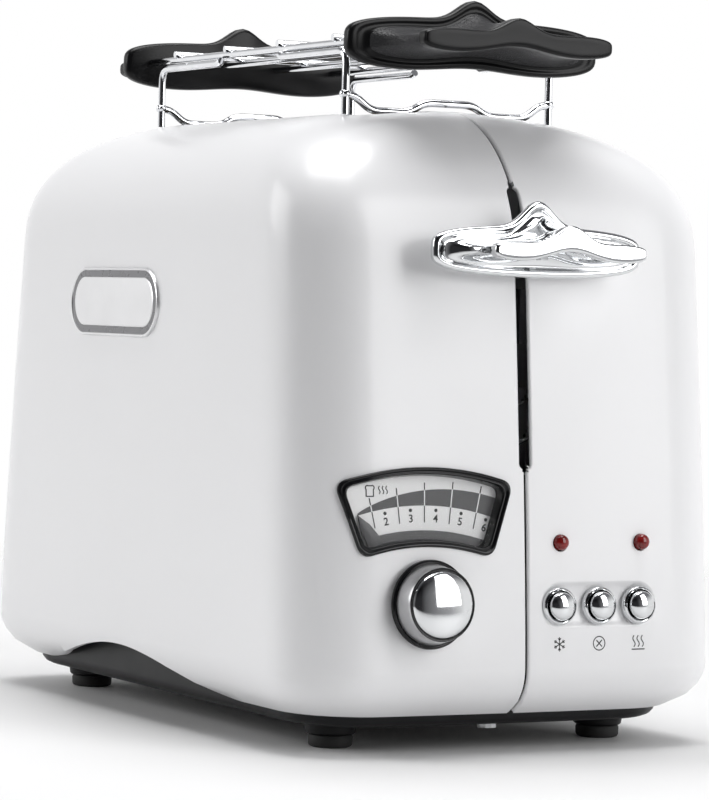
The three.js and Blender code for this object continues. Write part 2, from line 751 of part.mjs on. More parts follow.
function lamps() {
  const bodyEnd = 5.5;
  return lampX.map((x, k) => {
    const profile = [[0, -bodyEnd], [lampRadius, -bodyEnd], [lampRadius, 0]];
    for (let i = 1; i <= 3; i += 1) {
      const angle = i * Math.PI / 6;
      profile.push([lampRadius * Math.cos(angle), 1.6 * Math.sin(angle)]);
    }
    const lamp = turned(profile, 14).translate([x, 0, onPanel(lampHeight)]);
    return part(['power_lamp', 'function_lamp'][k], lamp, lampRed);
  });
}

const buttonNames = ['defrost', 'cancel', 'reheat'];
const stemEnd = 14;

function buttons() {
  const ringInner = buttonRadius + clearance;
  return buttonX.flatMap((x, k) => {
    const ring = turned([
      [ringInner, -1.8], [buttonRingRadius - 1, -1.8], [buttonRingRadius - 1, -0.1],
      [buttonRingRadius, -0.1], [buttonRingRadius, 0.5], [buttonRingRadius - 0.6, 1.2],
      [ringInner, 1.2], [ringInner, -1.8]], 20);
    const cap = turned([
      [0, -stemEnd], [1.4, -stemEnd], [1.4, -3], [buttonRadius, -3], [buttonRadius, 2.4],
      [buttonRadius - 0.7, 3.2], [buttonRadius - 2.2, 3.8], [0, 4.1]], 20);
    const place = (solid) => solid.translate([x, 0, onPanel(buttonHeight)]);
    return [
      part(buttonNames[k] + '_button_ring', place(ring), chrome),
      part(buttonNames[k] + '_button', place(cap), chrome),
    ];
  });
}

// ---------------------------------------------------------------- what stands behind the panel

const frameHalf = bodyWidth / 2 - 22;
const framePlan = { left: -frameHalf, right: frameHalf - 2, bottom: 19.5, top: 89 };

// The plastic frame behind the panel carries the needle's pivot pin and the shaft's bearing.
function controlFrame() {
  const { left, right, bottom, top } = framePlan;
  const [z0, z1] = [onPanel(bottom), onPanel(top)];
  const plate = box([left, frameDepth.front, z0], [right, frameDepth.back, z1]);
  const pin = rod([gaugeX, sectorDepth.front, pivotLocal], [gaugeX, frameDepth.back, pivotLocal], 1.3, 12);
  const shaftHole = panelRod(gaugeX, knobHeight, 20, 0, knobShaftRadius, 16);
  const stemHoles = buttonX.map((x) => panelRod(x, buttonHeight, 20, 0, 2.2, 12));
  const dialPosts = [-20, 20].map((offset) => rod(
    [gaugeX + offset, dialDepth.back + clearance, onPanel(gaugeTop) - 9],
    [gaugeX + offset, frameDepth.front + 0.5, onPanel(gaugeTop) - 9], 1.8, 10));
  return part('control_frame', cut(join(plate, pin, ...dialPosts), shaftHole, ...stemHoles), blackPlastic);
}

function electronics() {
  const gap = clearance;
  const boardBack = boardDepth.back;
  const board = box([5, boardDepth.front, onPanel(33)], [frameHalf, boardBack, onPanel(84)]);
  const switches = buttonX.map((x, k) => {
    const z = onPanel(buttonHeight);
    const front = stemEnd + buttonTravel + 0.2;
    const body = box([x - 3, front, z - 3], [x + 3, boardDepth.front - gap, z + 3]);
    return part(buttonNames[k] + '_switch', body, blackPlastic);
  });
  const timerBody = box(
    [gaugeX - 8, frameDepth.back + gap, onPanel(knobHeight) - 8],
    [gaugeX + 8, frameDepth.back + 10, onPanel(knobHeight) + 8]);
  const timerBore = panelRod(gaugeX, knobHeight, frameDepth.back + 7, 0, knobShaftRadius, 16);
  return [
    part('control_board', board, circuitGreen),
    part('browning_timer', cut(timerBody, timerBore), blackPlastic),
    ...switches,
  ];
}

// ---------------------------------------------------------------- cloud shaped handles

// One outline of a cloud shaped handle: two round lobes, a raised hump between two waists, and an
// arched underside. Points run anticlockwise as seen from the front, closer together at the hump.
function cloudRing({ depth, half, lobe, hump, arch, waist = 0 }, direction, humpWidth) {
  const count = 48;
  const crowding = 0.2;
  const points = [];
  for (let k = 0; k < count; k += 1) {
    const even = 2 * Math.PI * k / count;
    const angle = even + crowding * Math.sin(2 * even);
    const x = half * Math.sign(Math.cos(angle)) * Math.abs(Math.cos(angle)) ** 0.85;
    const edge = lobe * Math.sign(Math.sin(angle)) * Math.abs(Math.sin(angle)) ** 0.45;
    const crest = (hump + waist) * Math.exp(-((x / humpWidth) ** 2));
    const dip = waist * Math.exp(-((x / (half * 0.62)) ** 2));
    const rise = Math.sin(angle) > 0 ? crest - dip : arch * Math.exp(-((x / (half * 0.42)) ** 2));
    points.push(new THREE.Vector3(x, -depth * direction, edge + rise));
  }
  return direction > 0 ? points : points.reverse();
}

const cloudHandle = (stations, humpWidth, direction = 1) => loft(
  stations.map((station) => cloudRing(station, direction, humpWidth)),
  (p) => new THREE.Vector2(p.x * direction, p.z));

// The lever's stations, from the flange's back to the grip's front.
const leverHumpWidth = 7.2;
const leverStations = [
  { depth: 0, half: 37, lobe: 7, hump: 8, arch: 0 },
  { depth: 0.7, half: 38.2, lobe: 8.2, hump: 8, arch: 0 },
  { depth: 2.5, half: 38.2, lobe: 8.2, hump: 8, arch: 0 },
  { depth: 3.2, half: 37.2, lobe: 7.2, hump: 8, arch: 0.3 },
  { depth: 3.6, half: 33, lobe: 4.6, hump: 7.2, arch: 1, waist: 0.4 },
  { depth: 7, half: 27, lobe: 3, hump: 5.6, arch: 2.8, waist: 0.8 },
  { depth: 12.5, half: 25.2, lobe: 2.7, hump: 4.6, arch: 3.4, waist: 1 },
  { depth: 17.5, half: 26, lobe: 3, hump: 4.4, arch: 3.8, waist: 1.3 },
  { depth: 19.6, half: 27.6, lobe: 3.8, hump: 4.4, arch: 4, waist: 1.6 },
  { depth: 22.8, half: 27.6, lobe: 3.8, hump: 4.4, arch: 4, waist: 1.6 },
  { depth: 23.6, half: 26.6, lobe: 3, hump: 4.4, arch: 4, waist: 1.4 },
];

const rackHumpWidth = 8;
const rackStations = [
  { depth: 0, half: 45.4, lobe: 8.4, hump: 5.4, arch: 2.4, waist: 0.6 },
  { depth: 1.4, half: 47, lobe: 9.6, hump: 5.6, arch: 2.6, waist: 0.8 },
  { depth: 4.4, half: 47, lobe: 9.6, hump: 5.6, arch: 2.6, waist: 0.8 },
  { depth: 5.8, half: 45.4, lobe: 8.4, hump: 5.2, arch: 2.6, waist: 0.8 },
  { depth: 7.4, half: 39.6, lobe: 5.8, hump: 4.4, arch: 2.8, waist: 1 },
  { depth: 12, half: 34, lobe: 4.1, hump: 3.6, arch: 3, waist: 1.4 },
  { depth: 19, half: 32.2, lobe: 3.8, hump: 3.2, arch: 3.3, waist: 1.8 },
  { depth: 26, half: 33, lobe: 4, hump: 3.2, arch: 3.4, waist: 2 },
  { depth: 29, half: 35, lobe: 4.7, hump: 3.2, arch: 3.5, waist: 2.2 },
  { depth: 32.6, half: 35, lobe: 4.7, hump: 3.2, arch: 3.5, waist: 2.2 },
  { depth: 33.8, half: 33.8, lobe: 3.8, hump: 3.2, arch: 3.5, waist: 2 },
];

function lever() {
  const body = cloudHandle(leverStations, leverHumpWidth).translate([0, -leverStandOff, leverHeight]);
  const half = { x: stemThickness / 2 + clearance, z: stemHeight / 2 + clearance };
  const socketDepth = 7;
  const socketLift = 1;
  const socket = box(
    [-half.x, -leverStandOff - socketDepth, leverHeight + socketLift - half.z + 1],
    [half.x, -leverStandOff + 1, leverHeight + socketLift + half.z - 1]);
  return part('lever_handle', cut(body, socket), chrome);
}

// ---------------------------------------------------------------- carriage

const carriageBlock = {
  top: leverHeight + 8.5, upper: leverHeight - 11.5, lower: lifterRest - 6, lowerTop: lifterRest + 8,
  half: slotCentreX + 2,
};
const magnetX = 0;
const armature = { thickness: 2, half: 7 };

function carriage() {
  const back = carriageY + carriageThickness / 2;
  const front = carriageY - carriageThickness / 2;
  const { top, upper, lower, lowerTop, half } = carriageBlock;
  const upperBlock = box([-half, front, upper], [half, back, top]);
  const lowerBlock = box([-half - 2, front, lower], [half + 2, back, lowerTop]);
  const web = box([-6, front, lower], [6, back, top]);
  const bores = [-guideRodX, guideRodX].map((x) => post(x, carriageY, 0, bodyHeight, guideRodRadius + clearance));
  const stemZ = leverHeight + 1;
  const stem = box(
    [-stemThickness / 2, -leverStandOff - 6.4, stemZ - stemHeight / 2 + 1],
    [stemThickness / 2, front - clearance, stemZ + stemHeight / 2 - 1]);
  const plate = box(
    [magnetX - armature.half, front, lower - clearance - armature.thickness],
    [magnetX + armature.half, back, lower - clearance]);
  return [
    part('carriage_bracket', cut(join(upperBlock, lowerBlock, web), ...bores), steel),
    part('lever_stem', stem, steel),
    part('latch_armature', plate, steel),
  ];
}

function bracketLifters() {
  const finStep = 15;
  return [-1, 1].map((side) => {
    const x = side * slotCentreX;
    const front = carriageY + carriageThickness / 2 + clearance;
    const rear = slotHalfLength - 3;
    const finEnd = slotHalfLength - 9;
    const finHalf = slotWidth / 2 - 3.5;
    const bar = box([x - 1, front, lifterRest - 4], [x + 1, rear, lifterRest + 3]);
    const fins = [];
    for (let y = -finEnd; y <= finEnd; y += finStep) {
      fins.push(box([x - finHalf, y - 0.6, lifterRest], [x + finHalf, y + 0.6, lifterRest + 4]));
    }
    return part(side < 0 ? 'bread_lifter_left' : 'bread_lifter_right', join(bar, ...fins), steel);
  });
}


function guideRods() {
  return [-guideRodX, guideRodX].map((x) => part(
    x < 0 ? 'guide_rod_left' : 'guide_rod_right',
    post(x, carriageY, footing, chassisTop + 3, guideRodRadius, 14), steel));
}

// The spring stands on the base around the right guide rod and pushes the carriage up.
function liftSpring() {
  const turns = 8;
  const coilRadius = 4.2;
  const coilWire = 0.55;
  const low = footing + coilWire + 0.3;
  const high = carriageBlock.lower - coilWire - 0.3;
  class Helix extends THREE.Curve {
    getPoint(t, target = new THREE.Vector3()) {
      const angle = 2 * Math.PI * turns * t;
      return target.set(
        guideRodX + coilRadius * Math.cos(angle), carriageY + coilRadius * Math.sin(angle),
        low + (high - low) * t);
    }
  }
  const section = new THREE.Shape();
  section.absarc(0, 0, coilWire, 0, 2 * Math.PI);
  const options = { steps: turns * 8, extrudePath: new Helix(), curveSegments: 2, bevelEnabled: false };
  return part('lift_spring', toSolid(new THREE.ExtrudeGeometry(section, options)), steel);
}

function electromagnet() {
  const top = carriageBlock.lower - 2 * clearance - armature.thickness - leverTravel;
  const core = box([magnetX - 6, carriageY - 3, footing], [magnetX + 6, carriageY + 3, top]);
  const coil = post(magnetX, carriageY, footing + 6, top - 8, 8.5, 20);
  return part('holding_magnet', join(core, coil), copper);
}

// ---------------------------------------------------------------- chassis and heaters

function chassisPlates() {
  const half = chassisHalfWidth;
  const outer = (y0, y1) => box([-half, y0, footing], [half, y1, chassisTop - clearance]);
  const lifterSlots = [-1, 1].map((side) => box(
    [side * slotCentreX - 3, -chassisY - 5, lifterRest - leverTravel - 6],
    [side * slotCentreX + 3, -chassisY + 5, lifterRest + leverLift + 6]));
  const trayGap = box(
    [-trayHalfWidth - 2, chassisY - 5, trayBottom - 2],
    [trayHalfWidth + 2, chassisY + 5, trayBottom + trayDepth + 2]);
  const front = cut(outer(-chassisY, -chassisY + sheet), ...lifterSlots);
  const rear = cut(outer(chassisY - sheet, chassisY), trayGap);
  const plate = prismZ(roundedRectangle(0, 0, 2 * half, 2 * chassisY, 3), chassisTop, chassisTop + sheet);
  const slots = [-1, 1].map((side) => prismZ(slotOutline(side, 0.8), chassisTop - 5, chassisTop + 5));
  return [
    part('front_chassis_plate', front, steel),
    part('rear_chassis_plate', rear, steel),
    part('top_chassis_plate', cut(plate, ...slots), steel),
  ];
}

function heaters() {
  const span = chassisY - sheet - clearance;
  const places = [
    ['heater_left', -outerBoardX], ['heater_middle', 0], ['heater_right', outerBoardX]];
  return places.map(([name, x]) => {
    const half = boardThickness / 2;
    return part(name, box([x - half, -span, heaterBottom], [x + half, span, heaterTop]), mica);
  });
}

function reflectors() {
  const span = chassisY - sheet - clearance;
  return [-1, 1].map((side) => {
    const x = side * (outerBoardX + 7);
    const wall = box([x - 0.4, -span, 42], [x + 0.4, span, chassisTop - 1]);
    const flange = box([Math.min(x, x - side * 6), -span, 42], [Math.max(x, x - side * 6), span, 42.8]);
    return part(side < 0 ? 'reflector_left' : 'reflector_right', join(wall, flange), steel);
  });
}

// Each guard is a row of upright wires welded to two long wires, one on each side of a slot.
function guards() {
  const names = ['guard_left_outer', 'guard_left_inner', 'guard_right_inner', 'guard_right_outer'];
  const places = [-1, -1, 1, 1].map(
    (side, k) => side * slotCentreX + (k % 2 === 0 ? -1 : 1) * guardOffset);
  const [low, high] = [heaterBottom + 3, heaterTop + 2];
  return names.map((name, k) => {
    const x = places[k];
    const end = chassisY - sheet - clearance - 0.5;
    const rails = [low + 4, high - 4].map(
      (z) => rod([x, -end, z], [x, end, z], guardWireRadius, 4));
    const uprights = [];
    const wireEnd = slotHalfLength - 15;
    for (let y = -wireEnd; y <= wireEnd; y += wireEnd / 2.5) {
      uprights.push(rod([x, y, low], [x, y, high], guardWireRadius, 4));
    }
    return part(name, join(...rails, ...uprights), steel);
  });
}

// ---------------------------------------------------------------- crumb tray, gland and badge

function crumbTray() {
  const half = trayHalfWidth;
  const front = -chassisY + 8;
  const back = bodyLength / 2 - 18.5;
  const shellLike = box([-half, front, trayBottom], [half, back, trayBottom + trayDepth]);
  const hollow = box([-half + 1, front + 1, trayBottom + 1], [half - 1, back - 1, trayBottom + 20]);
  const bridge = box([-half + 6, back - 1, trayBottom], [half - 6, bodyLength / 2, trayBottom + 2]);
  const outline = roundedRectangle(0, trayBottom + 4, 2 * half + 9, 15, 4);
  const face = prismY(outline, outsideEnd, insideEnd, 4).intersect(cut(bodyForm(1.8), bodyForm(clearance + 0.1, 0)));
  const lip = box([-22, bodyLength / 2 - 1, trayBottom + 2], [22, bodyLength / 2 + 6, trayBottom + 4.4]);
  return part('crumb_tray', join(cut(shellLike, hollow), bridge, face, lip), steel);
}

function cordGland() {
  const { x, z, radius } = glandPlace;
  const surface = bodyLength / 2 - faceBulge - endInset(z);
  const profile = [
    [3.8, -6], [radius, -6], [radius, 1], [radius + 2.4, 1], [radius + 2.4, 2.2],
    [radius + 1.4, 3.2], [3.8, 3.2], [3.8, -6]];
  const gland = turned(profile, 18).rotate([0, 0, 180]).translate([x, surface, z]);
  return part('cord_gland', gland, blackPlastic);
}

function badge() {
  const layer = cut(bodyForm(badgeSize.thickness - 0.3), bodyForm(-0.3, 0));
  return part('badge_plate', badgePrism(0).intersect(layer), chrome);
}

// ---------------------------------------------------------------- bun warming rack

const railHeight = rackArmHeight + 2 * wireRadius + clearance;
const railEnd = rackHandleY + 5;
const railInnerX = 13;
const railOuterX = rackHalfWidth - 1.6;

function rackTop() {
  const rails = [-railOuterX, -railInnerX, railInnerX, railOuterX].map((x) => rod(
    [x, -railEnd, railHeight], [x, railEnd, railHeight], wireRadius, 8));
  const bars = [-60, -20, 20, 60].map((y) => rod(
    [-railOuterX - 0.4, y, railHeight + 1.6], [railOuterX + 0.4, y, railHeight + 1.6], wireRadius, 8));
  return part('rack_top', join(...rails, ...bars), chrome);
}

// A leg frame: an arm under each outer rail, a leg down to the body, and a cross wire between the
// legs that dips into both toast slots.
function rackLegs(side) {
  const x = rackHalfWidth;
  const y = side * rackLegY;
  const foot = topHeight(x) + clearance + 0.5;
  const legs = [-1, 1].map((hand) => wire(
    [[hand * x, side * rackArmEnd, rackArmHeight], [hand * x, y, rackArmHeight], [hand * x, y, foot]],
    wireRadius, 4, 5.5));
  const inSlot = slotWidth / 2 - 7;
  const dips = [-slotCentreX - inSlot, -slotCentreX + inSlot, slotCentreX - inSlot, slotCentreX + inSlot];
  const rises = 6;
  const cross = wire([
    [-x, y, rackCrossHeight], [dips[0] - rises, y, rackCrossHeight - 0.6],
    [dips[0], y, rackDipHeight], [dips[1], y, rackDipHeight],
    [dips[1] + rises, y, rackRidgeHeight], [dips[2] - rises, y, rackRidgeHeight],
    [dips[2], y, rackDipHeight], [dips[3], y, rackDipHeight],
    [dips[3] + rises, y, rackCrossHeight - 0.6], [x, y, rackCrossHeight]], wireRadius, 2.5, 3);
  return part(side < 0 ? 'rack_leg_frame_front' : 'rack_leg_frame_rear', join(...legs, cross), chrome);
}

function rackHandle(side) {
  const body = cloudHandle(rackStations, rackHumpWidth, -side).translate([0, side * rackHandleY, railHeight - 0.6]);
  const sockets = [-railOuterX, -railInnerX, railInnerX, railOuterX].map((x) => rod(
    [x, side * (rackHandleY - 3), railHeight], [x, side * (railEnd + clearance), railHeight],
    wireRadius + clearance, 8));
  return part(side < 0 ? 'rack_handle_front' : 'rack_handle_rear', cut(body, ...sockets), blackPlastic);
}

// ---------------------------------------------------------------- assembly

panel.add(
  dial(), needle(), ...knob(), ...lamps(), ...buttons(), controlFrame(), ...electronics());

const assembly = new THREE.Group();
assembly.add(
  ...shells(), baseTray(), ...feet(), ...baseScrews(), ...gauge(), panel, lever(), ...carriage(),
  ...bracketLifters(), ...guideRods(), liftSpring(), electromagnet(), ...chassisPlates(), ...heaters(),
  ...reflectors(), ...guards(), crumbTray(), cordGland(), badge(),
  rackTop(), rackLegs(-1), rackLegs(1), rackHandle(-1), rackHandle(1));

const leverReach = leverStandOff + leverStations[leverStations.length - 1].depth;
const trayReach = bodyLength / 2 + 6;
assembly.position.y = (leverReach - trayReach) / 2;

const toaster = new THREE.Group();
toaster.name = 'toaster';
toaster.add(assembly);

export default toaster;
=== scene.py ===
# %% [markdown]
# # A two slice toaster with a bun rack
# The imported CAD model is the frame: it holds every size, every joint and every hidden part. This
# file gives the toaster its looks. It makes smooth outer skins, turned knobs, bent wires and
# printed marks with bmesh, and it gives every piece a finish made of shader nodes. Lengths inside
# the cells are millimetres around the middle of the body, as on a workshop drawing, and each
# finished piece is turned into metres at the frame's place.

import bmesh
import bpy
import json
import math
from mathutils import Matrix, Vector
from mathutils.bvhtree import BVHTree

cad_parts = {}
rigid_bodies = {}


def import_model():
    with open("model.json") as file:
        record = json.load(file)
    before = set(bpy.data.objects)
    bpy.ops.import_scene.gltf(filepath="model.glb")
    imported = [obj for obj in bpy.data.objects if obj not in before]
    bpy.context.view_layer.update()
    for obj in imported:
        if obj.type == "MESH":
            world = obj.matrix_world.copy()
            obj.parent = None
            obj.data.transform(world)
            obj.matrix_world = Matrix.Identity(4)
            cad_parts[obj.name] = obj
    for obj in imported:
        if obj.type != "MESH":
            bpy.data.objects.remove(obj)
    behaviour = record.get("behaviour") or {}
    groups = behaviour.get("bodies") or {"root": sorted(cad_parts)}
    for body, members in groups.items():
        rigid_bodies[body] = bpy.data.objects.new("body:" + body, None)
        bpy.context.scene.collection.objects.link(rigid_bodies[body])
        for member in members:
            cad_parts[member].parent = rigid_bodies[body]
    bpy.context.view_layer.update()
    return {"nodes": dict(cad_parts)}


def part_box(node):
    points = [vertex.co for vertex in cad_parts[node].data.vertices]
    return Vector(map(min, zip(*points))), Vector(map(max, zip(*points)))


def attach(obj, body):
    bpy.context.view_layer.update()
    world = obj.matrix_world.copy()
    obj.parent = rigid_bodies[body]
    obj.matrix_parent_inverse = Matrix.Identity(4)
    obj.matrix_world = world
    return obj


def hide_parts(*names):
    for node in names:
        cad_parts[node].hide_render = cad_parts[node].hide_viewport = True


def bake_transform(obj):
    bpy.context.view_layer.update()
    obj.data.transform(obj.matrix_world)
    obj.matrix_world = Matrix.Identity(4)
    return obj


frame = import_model()
nodes = frame["nodes"]


# %% places read from the frame
def box_mm(node):
    """A CAD node's lowest and highest corner in millimetres, around the middle of the body."""
    low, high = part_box(node)
    return (low - BODY_MIDDLE) * 1000, (high - BODY_MIDDLE) * 1000


def middle_mm(node):
    low, high = box_mm(node)
    return (low + high) / 2


shell_low, shell_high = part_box("left_shell")
BODY_MIDDLE = Vector((0, (shell_low.y + shell_high.y) / 2, 0))
TO_FRAME = Matrix.Translation(BODY_MIDDLE) @ Matrix.Scale(0.001, 4)
HALF_WIDTH = -box_mm("left_shell")[0].x
HALF_LENGTH = box_mm("left_shell")[1].y
BODY_TOP = box_mm("left_shell")[1].z
EDGE_Z = box_mm("left_shell")[0].z
print(f"body: half width {HALF_WIDTH:.1f}, half length {HALF_LENGTH:.1f}, top {BODY_TOP:.1f} mm")

# %% [markdown]
# ## Camera, floor and studio light
# The camera stands a little above the table, at the front left corner. It has a long lens, so the
# toaster's upright lines stay upright. The floor is a plain pale sheet. White enamel only shows
# its form if some of the room is darker, so the sky is white behind the toaster and dims towards
# the front left corner and overhead. Three large panels give the bright reflections chrome needs.

# %% helpers for objects and shader nodes
def into_scene(name, data):
    """A new object that shows in the scene."""
    made = bpy.data.objects.new(name, data)
    bpy.context.scene.collection.objects.link(made)
    return made


def mesh_from(name, work):
    """Turns a bmesh into a mesh and frees it."""
    mesh = bpy.data.meshes.new(name)
    work.to_mesh(mesh)
    work.free()
    return mesh


def face_outward(work):
    """Turns the faces of a bmesh outwards and hands it back."""
    bmesh.ops.recalc_face_normals(work, faces=work.faces)
    return work


def add_node(tree, kind, **inputs):
    """A new shader node with some of its inputs set."""
    node = tree.nodes.new("ShaderNode" + kind)
    for socket, value in inputs.items():
        node.inputs[socket.replace("_", " ")].default_value = value
    return node


def add_math(tree, kind, operation):
    node = add_node(tree, kind)
    node.operation = operation
    return node


def add_ramp(tree, first, last, *between):
    """A colour ramp with stops of (position, colour)."""
    ramp = add_node(tree, "ValToRGB")
    stops = ramp.color_ramp.elements
    for stop, (position, colour) in zip(stops, (first, last)):
        stop.position, stop.color = position, (*colour, 1)
    for position, colour in between:
        stops.new(position).color = (*colour, 1)
    return ramp


def add_mix(tree, blend_type="MIX"):
    node = add_node(tree, "Mix")
    node.data_type = "RGBA"
    node.blend_type = blend_type
    return node


def link(tree, *pairs):
    """Links outputs to inputs, pair by pair."""
    for source, target in pairs:
        tree.links.new(source, target)


def coordinates(tree):
    """The Object coordinates of a finish."""
    return next(n for n in tree.nodes if n.type == "TEX_COORD").outputs["Object"]


print("helpers for objects and nodes ready")

# %% camera
CAMERA_TURN = math.radians(-28.1)
CAMERA_RISE = math.radians(1.9)
CAMERA_ROLL = math.radians(1.5)
CAMERA_DISTANCE = 1.268
aim = BODY_MIDDLE + Vector((0, 0, 0.1))
away = Vector((
    math.sin(CAMERA_TURN) * math.cos(CAMERA_RISE),
    -math.cos(CAMERA_TURN) * math.cos(CAMERA_RISE),
    math.sin(CAMERA_RISE),
))
camera_data = bpy.data.cameras.new("studio_camera")
camera_data.lens = 163.8
camera_data.sensor_width = 36
camera_data.shift_x = 0.018
camera_data.shift_y = 0.029
camera = into_scene("studio_camera", camera_data)
camera.location = aim + away * CAMERA_DISTANCE
look = (-away).to_track_quat("-Z", "Y")
camera.rotation_mode = "QUATERNION"
camera.rotation_quaternion = look @ Matrix.Rotation(CAMERA_ROLL, 3, "Z").to_quaternion()
bpy.context.scene.camera = camera
bpy.context.scene.view_settings.view_transform = "Standard"
print("camera at", tuple(round(c, 3) for c in camera.location))


# %% studio panels
def panel_light(name, place, size, power, target=(0, 0, 0.12)):
    """A square soft light that faces a point."""
    data = bpy.data.lights.new(name, "AREA")
    data.shape = "RECTANGLE"
    data.size, data.size_y = size
    data.energy = power
    light = into_scene(name, data)
    light.location = place
    facing = Vector(target) - Vector(place)
    light.rotation_euler = facing.to_track_quat("-Z", "Y").to_euler()
    print(name, "power", power)


panel_light("left_panel", (-2.3, 1.1, 1.2), (1.6, 1.6), 31)
panel_light("front_right_panel", (1.25, -2.1, 1.15), (1.1, 2.2), 34)
panel_light("top_panel", (0.1, 0.1, 2.2), (1.5, 1.5), 46)

# %% sky
sky = bpy.data.worlds.new("studio_sky")
bpy.context.scene.world = sky
sky.use_nodes = True
sky_tree = sky.node_tree
TOWARDS_CORNER = (-0.64, -0.77, 0.0)
WHITE = (1, 1, 1)
direction = add_node(sky_tree, "TexCoord").outputs["Generated"]
height = add_node(sky_tree, "SeparateXYZ")
rise_ramp = add_ramp(sky_tree, (0.22, WHITE), (0.55, (0.22, 0.22, 0.23)))
corner = add_math(sky_tree, "VectorMath", "DOT_PRODUCT")
corner.inputs[1].default_value = TOWARDS_CORNER
corner_ramp = add_ramp(sky_tree, (0.0, WHITE), (0.8, (0.03, 0.03, 0.032)),
                       (0.3, (0.42, 0.42, 0.43)))
both = add_mix(sky_tree, "MULTIPLY")
both.inputs["Factor"].default_value = 1.0
link(sky_tree, (direction, height.inputs[0]), (height.outputs["Z"], rise_ramp.inputs[0]),
     (direction, corner.inputs[0]), (corner.outputs["Value"], corner_ramp.inputs[0]),
     (rise_ramp.outputs["Color"], both.inputs["A"]),
     (corner_ramp.outputs["Color"], both.inputs["B"]),
     (both.outputs["Result"], sky_tree.nodes["Background"].inputs["Color"]))
sky_tree.nodes["Background"].inputs["Strength"].default_value = 1.0
print("sky: pale near the horizon, dark overhead and before the front left corner")

# %% [markdown]
# ## Finishes
# Every finish starts from the same few nodes: noise on Object coordinates that shifts the colour
# and the roughness a little, and a finer noise that becomes a bump. That is how real surfaces
# differ from flat colour: enamel has a faint orange peel, plating has polishing haze, mouldings
# have spark grain. A helper wires those nodes once, and each finish then adds what is its own.


# %% a helper for finishes
def finish(name, colour, roughness, metallic=0.0, vary=0.03, haze=0.05, scale=60, grain=900,
           bump=0.0, depth=0.0002, **sockets):
    """A material with noise in its colour and roughness, and a fine bump."""
    material = bpy.data.materials.new(name)
    material.use_nodes = True
    tree = material.node_tree
    shader = tree.nodes["Principled BSDF"]
    place = add_node(tree, "TexCoord").outputs["Object"]
    cloud = add_node(tree, "TexNoise", Scale=scale, Detail=4)
    cloud.name = "cloud"
    tint = add_ramp(tree, (0.3, [c * (1 - vary) for c in colour]),
                    (0.7, [min(1, c * (1 + vary)) for c in colour]))
    tint.name = "tint"
    gloss = add_node(tree, "MapRange", To_Min=max(0.01, roughness - haze),
                     To_Max=min(1, roughness + haze))
    gloss.name = "gloss"
    link(tree, (place, cloud.inputs["Vector"]), (cloud.outputs["Fac"], tint.inputs[0]),
         (tint.outputs["Color"], shader.inputs["Base Color"]),
         (cloud.outputs["Fac"], gloss.inputs["Value"]),
         (gloss.outputs["Result"], shader.inputs["Roughness"]))
    shader.inputs["Metallic"].default_value = metallic
    if bump:
        fine = add_node(tree, "TexNoise", Scale=grain, Detail=3)
        fine.name = "fine"
        relief = add_node(tree, "Bump", Strength=bump, Distance=depth)
        relief.name = "relief"
        link(tree, (place, fine.inputs["Vector"]), (fine.outputs["Fac"], relief.inputs["Height"]),
             (relief.outputs["Normal"], shader.inputs["Normal"]))
    for socket, value in sockets.items():
        shader.inputs[socket.replace("_", " ")].default_value = value
    print("finish", name)
    return material


# %% [markdown]
# ### Enamel, plating and mouldings
# White enamel is a satin paint under a clear coat. Chrome is a nearly perfect mirror with a little
# haze. The rack's handles are moulded in a tool with spark eroded areas, so their grain sits only
# in the dished parts, between the smooth rim and the smooth grip face.

# %% enamel, chrome, plastics
white_enamel = finish(
    "white_enamel", (0.80, 0.80, 0.81), 0.34, vary=0.008, haze=0.03, scale=9, grain=420,
    bump=0.05, depth=0.0002, Coat_Weight=0.35, Coat_Roughness=0.18)
chrome = finish(
    "chrome_plating", (0.70, 0.71, 0.72), 0.06, 1.0, vary=0.02, haze=0.025, scale=30, grain=160,
    bump=0.02, depth=0.0001)
wire_chrome = finish(
    "chrome_wire", (0.80, 0.81, 0.83), 0.09, 1.0, vary=0.05, haze=0.04, scale=140, grain=700,
    bump=0.05, depth=0.0001)
satin_metal = finish(
    "satin_collar_metal", (0.50, 0.50, 0.51), 0.32, 0.9, vary=0.06, haze=0.05, scale=160,
    grain=1500, bump=0.08, depth=0.0001)
gloss_moulding = finish(
    "gloss_black_moulding", (0.006, 0.006, 0.007), 0.2, vary=0.2, haze=0.05, scale=45, grain=500,
    bump=0.03, depth=0.0001, Specular_IOR_Level=0.3)
satin_moulding = finish(
    "satin_black_moulding", (0.007, 0.007, 0.008), 0.42, vary=0.2, haze=0.06, scale=90, grain=1400,
    bump=0.12, depth=0.0001, Specular_IOR_Level=0.25)
sector_grey = finish("dark_grey_moulding", (0.062, 0.062, 0.066), 0.4, vary=0.08, scale=200,
                     grain=1500, bump=0.1, depth=0.00005)
foot_rubber = finish("foot_rubber", (0.018, 0.018, 0.018), 0.72, vary=0.2, scale=120, grain=1200,
                     bump=0.3, depth=0.0001)

# %% [markdown]
# ### Inside metals, boards and prints
# Zinc plated sheet shows long rolling lines, which a noise stretched along one axis gives. Mica is
# made of flakes, so a cell texture breaks up its gloss. The circuit board carries copper tracks
# under green solder mask. The lamp lenses let light through, and the gauge's lens is a thin clear
# sheet.


# %% stretched grain for rolled sheet
def stretch(material, factors):
    """Stretches a finish's noises along an axis, as rolling or brushing leaves them."""
    tree = material.node_tree
    mapping = add_node(tree, "Mapping", Scale=factors)
    link(tree, (coordinates(tree), mapping.inputs["Vector"]))
    for noise in [n for n in tree.nodes if n.type == "TEX_NOISE"]:
        link(tree, (mapping.outputs["Vector"], noise.inputs["Vector"]))


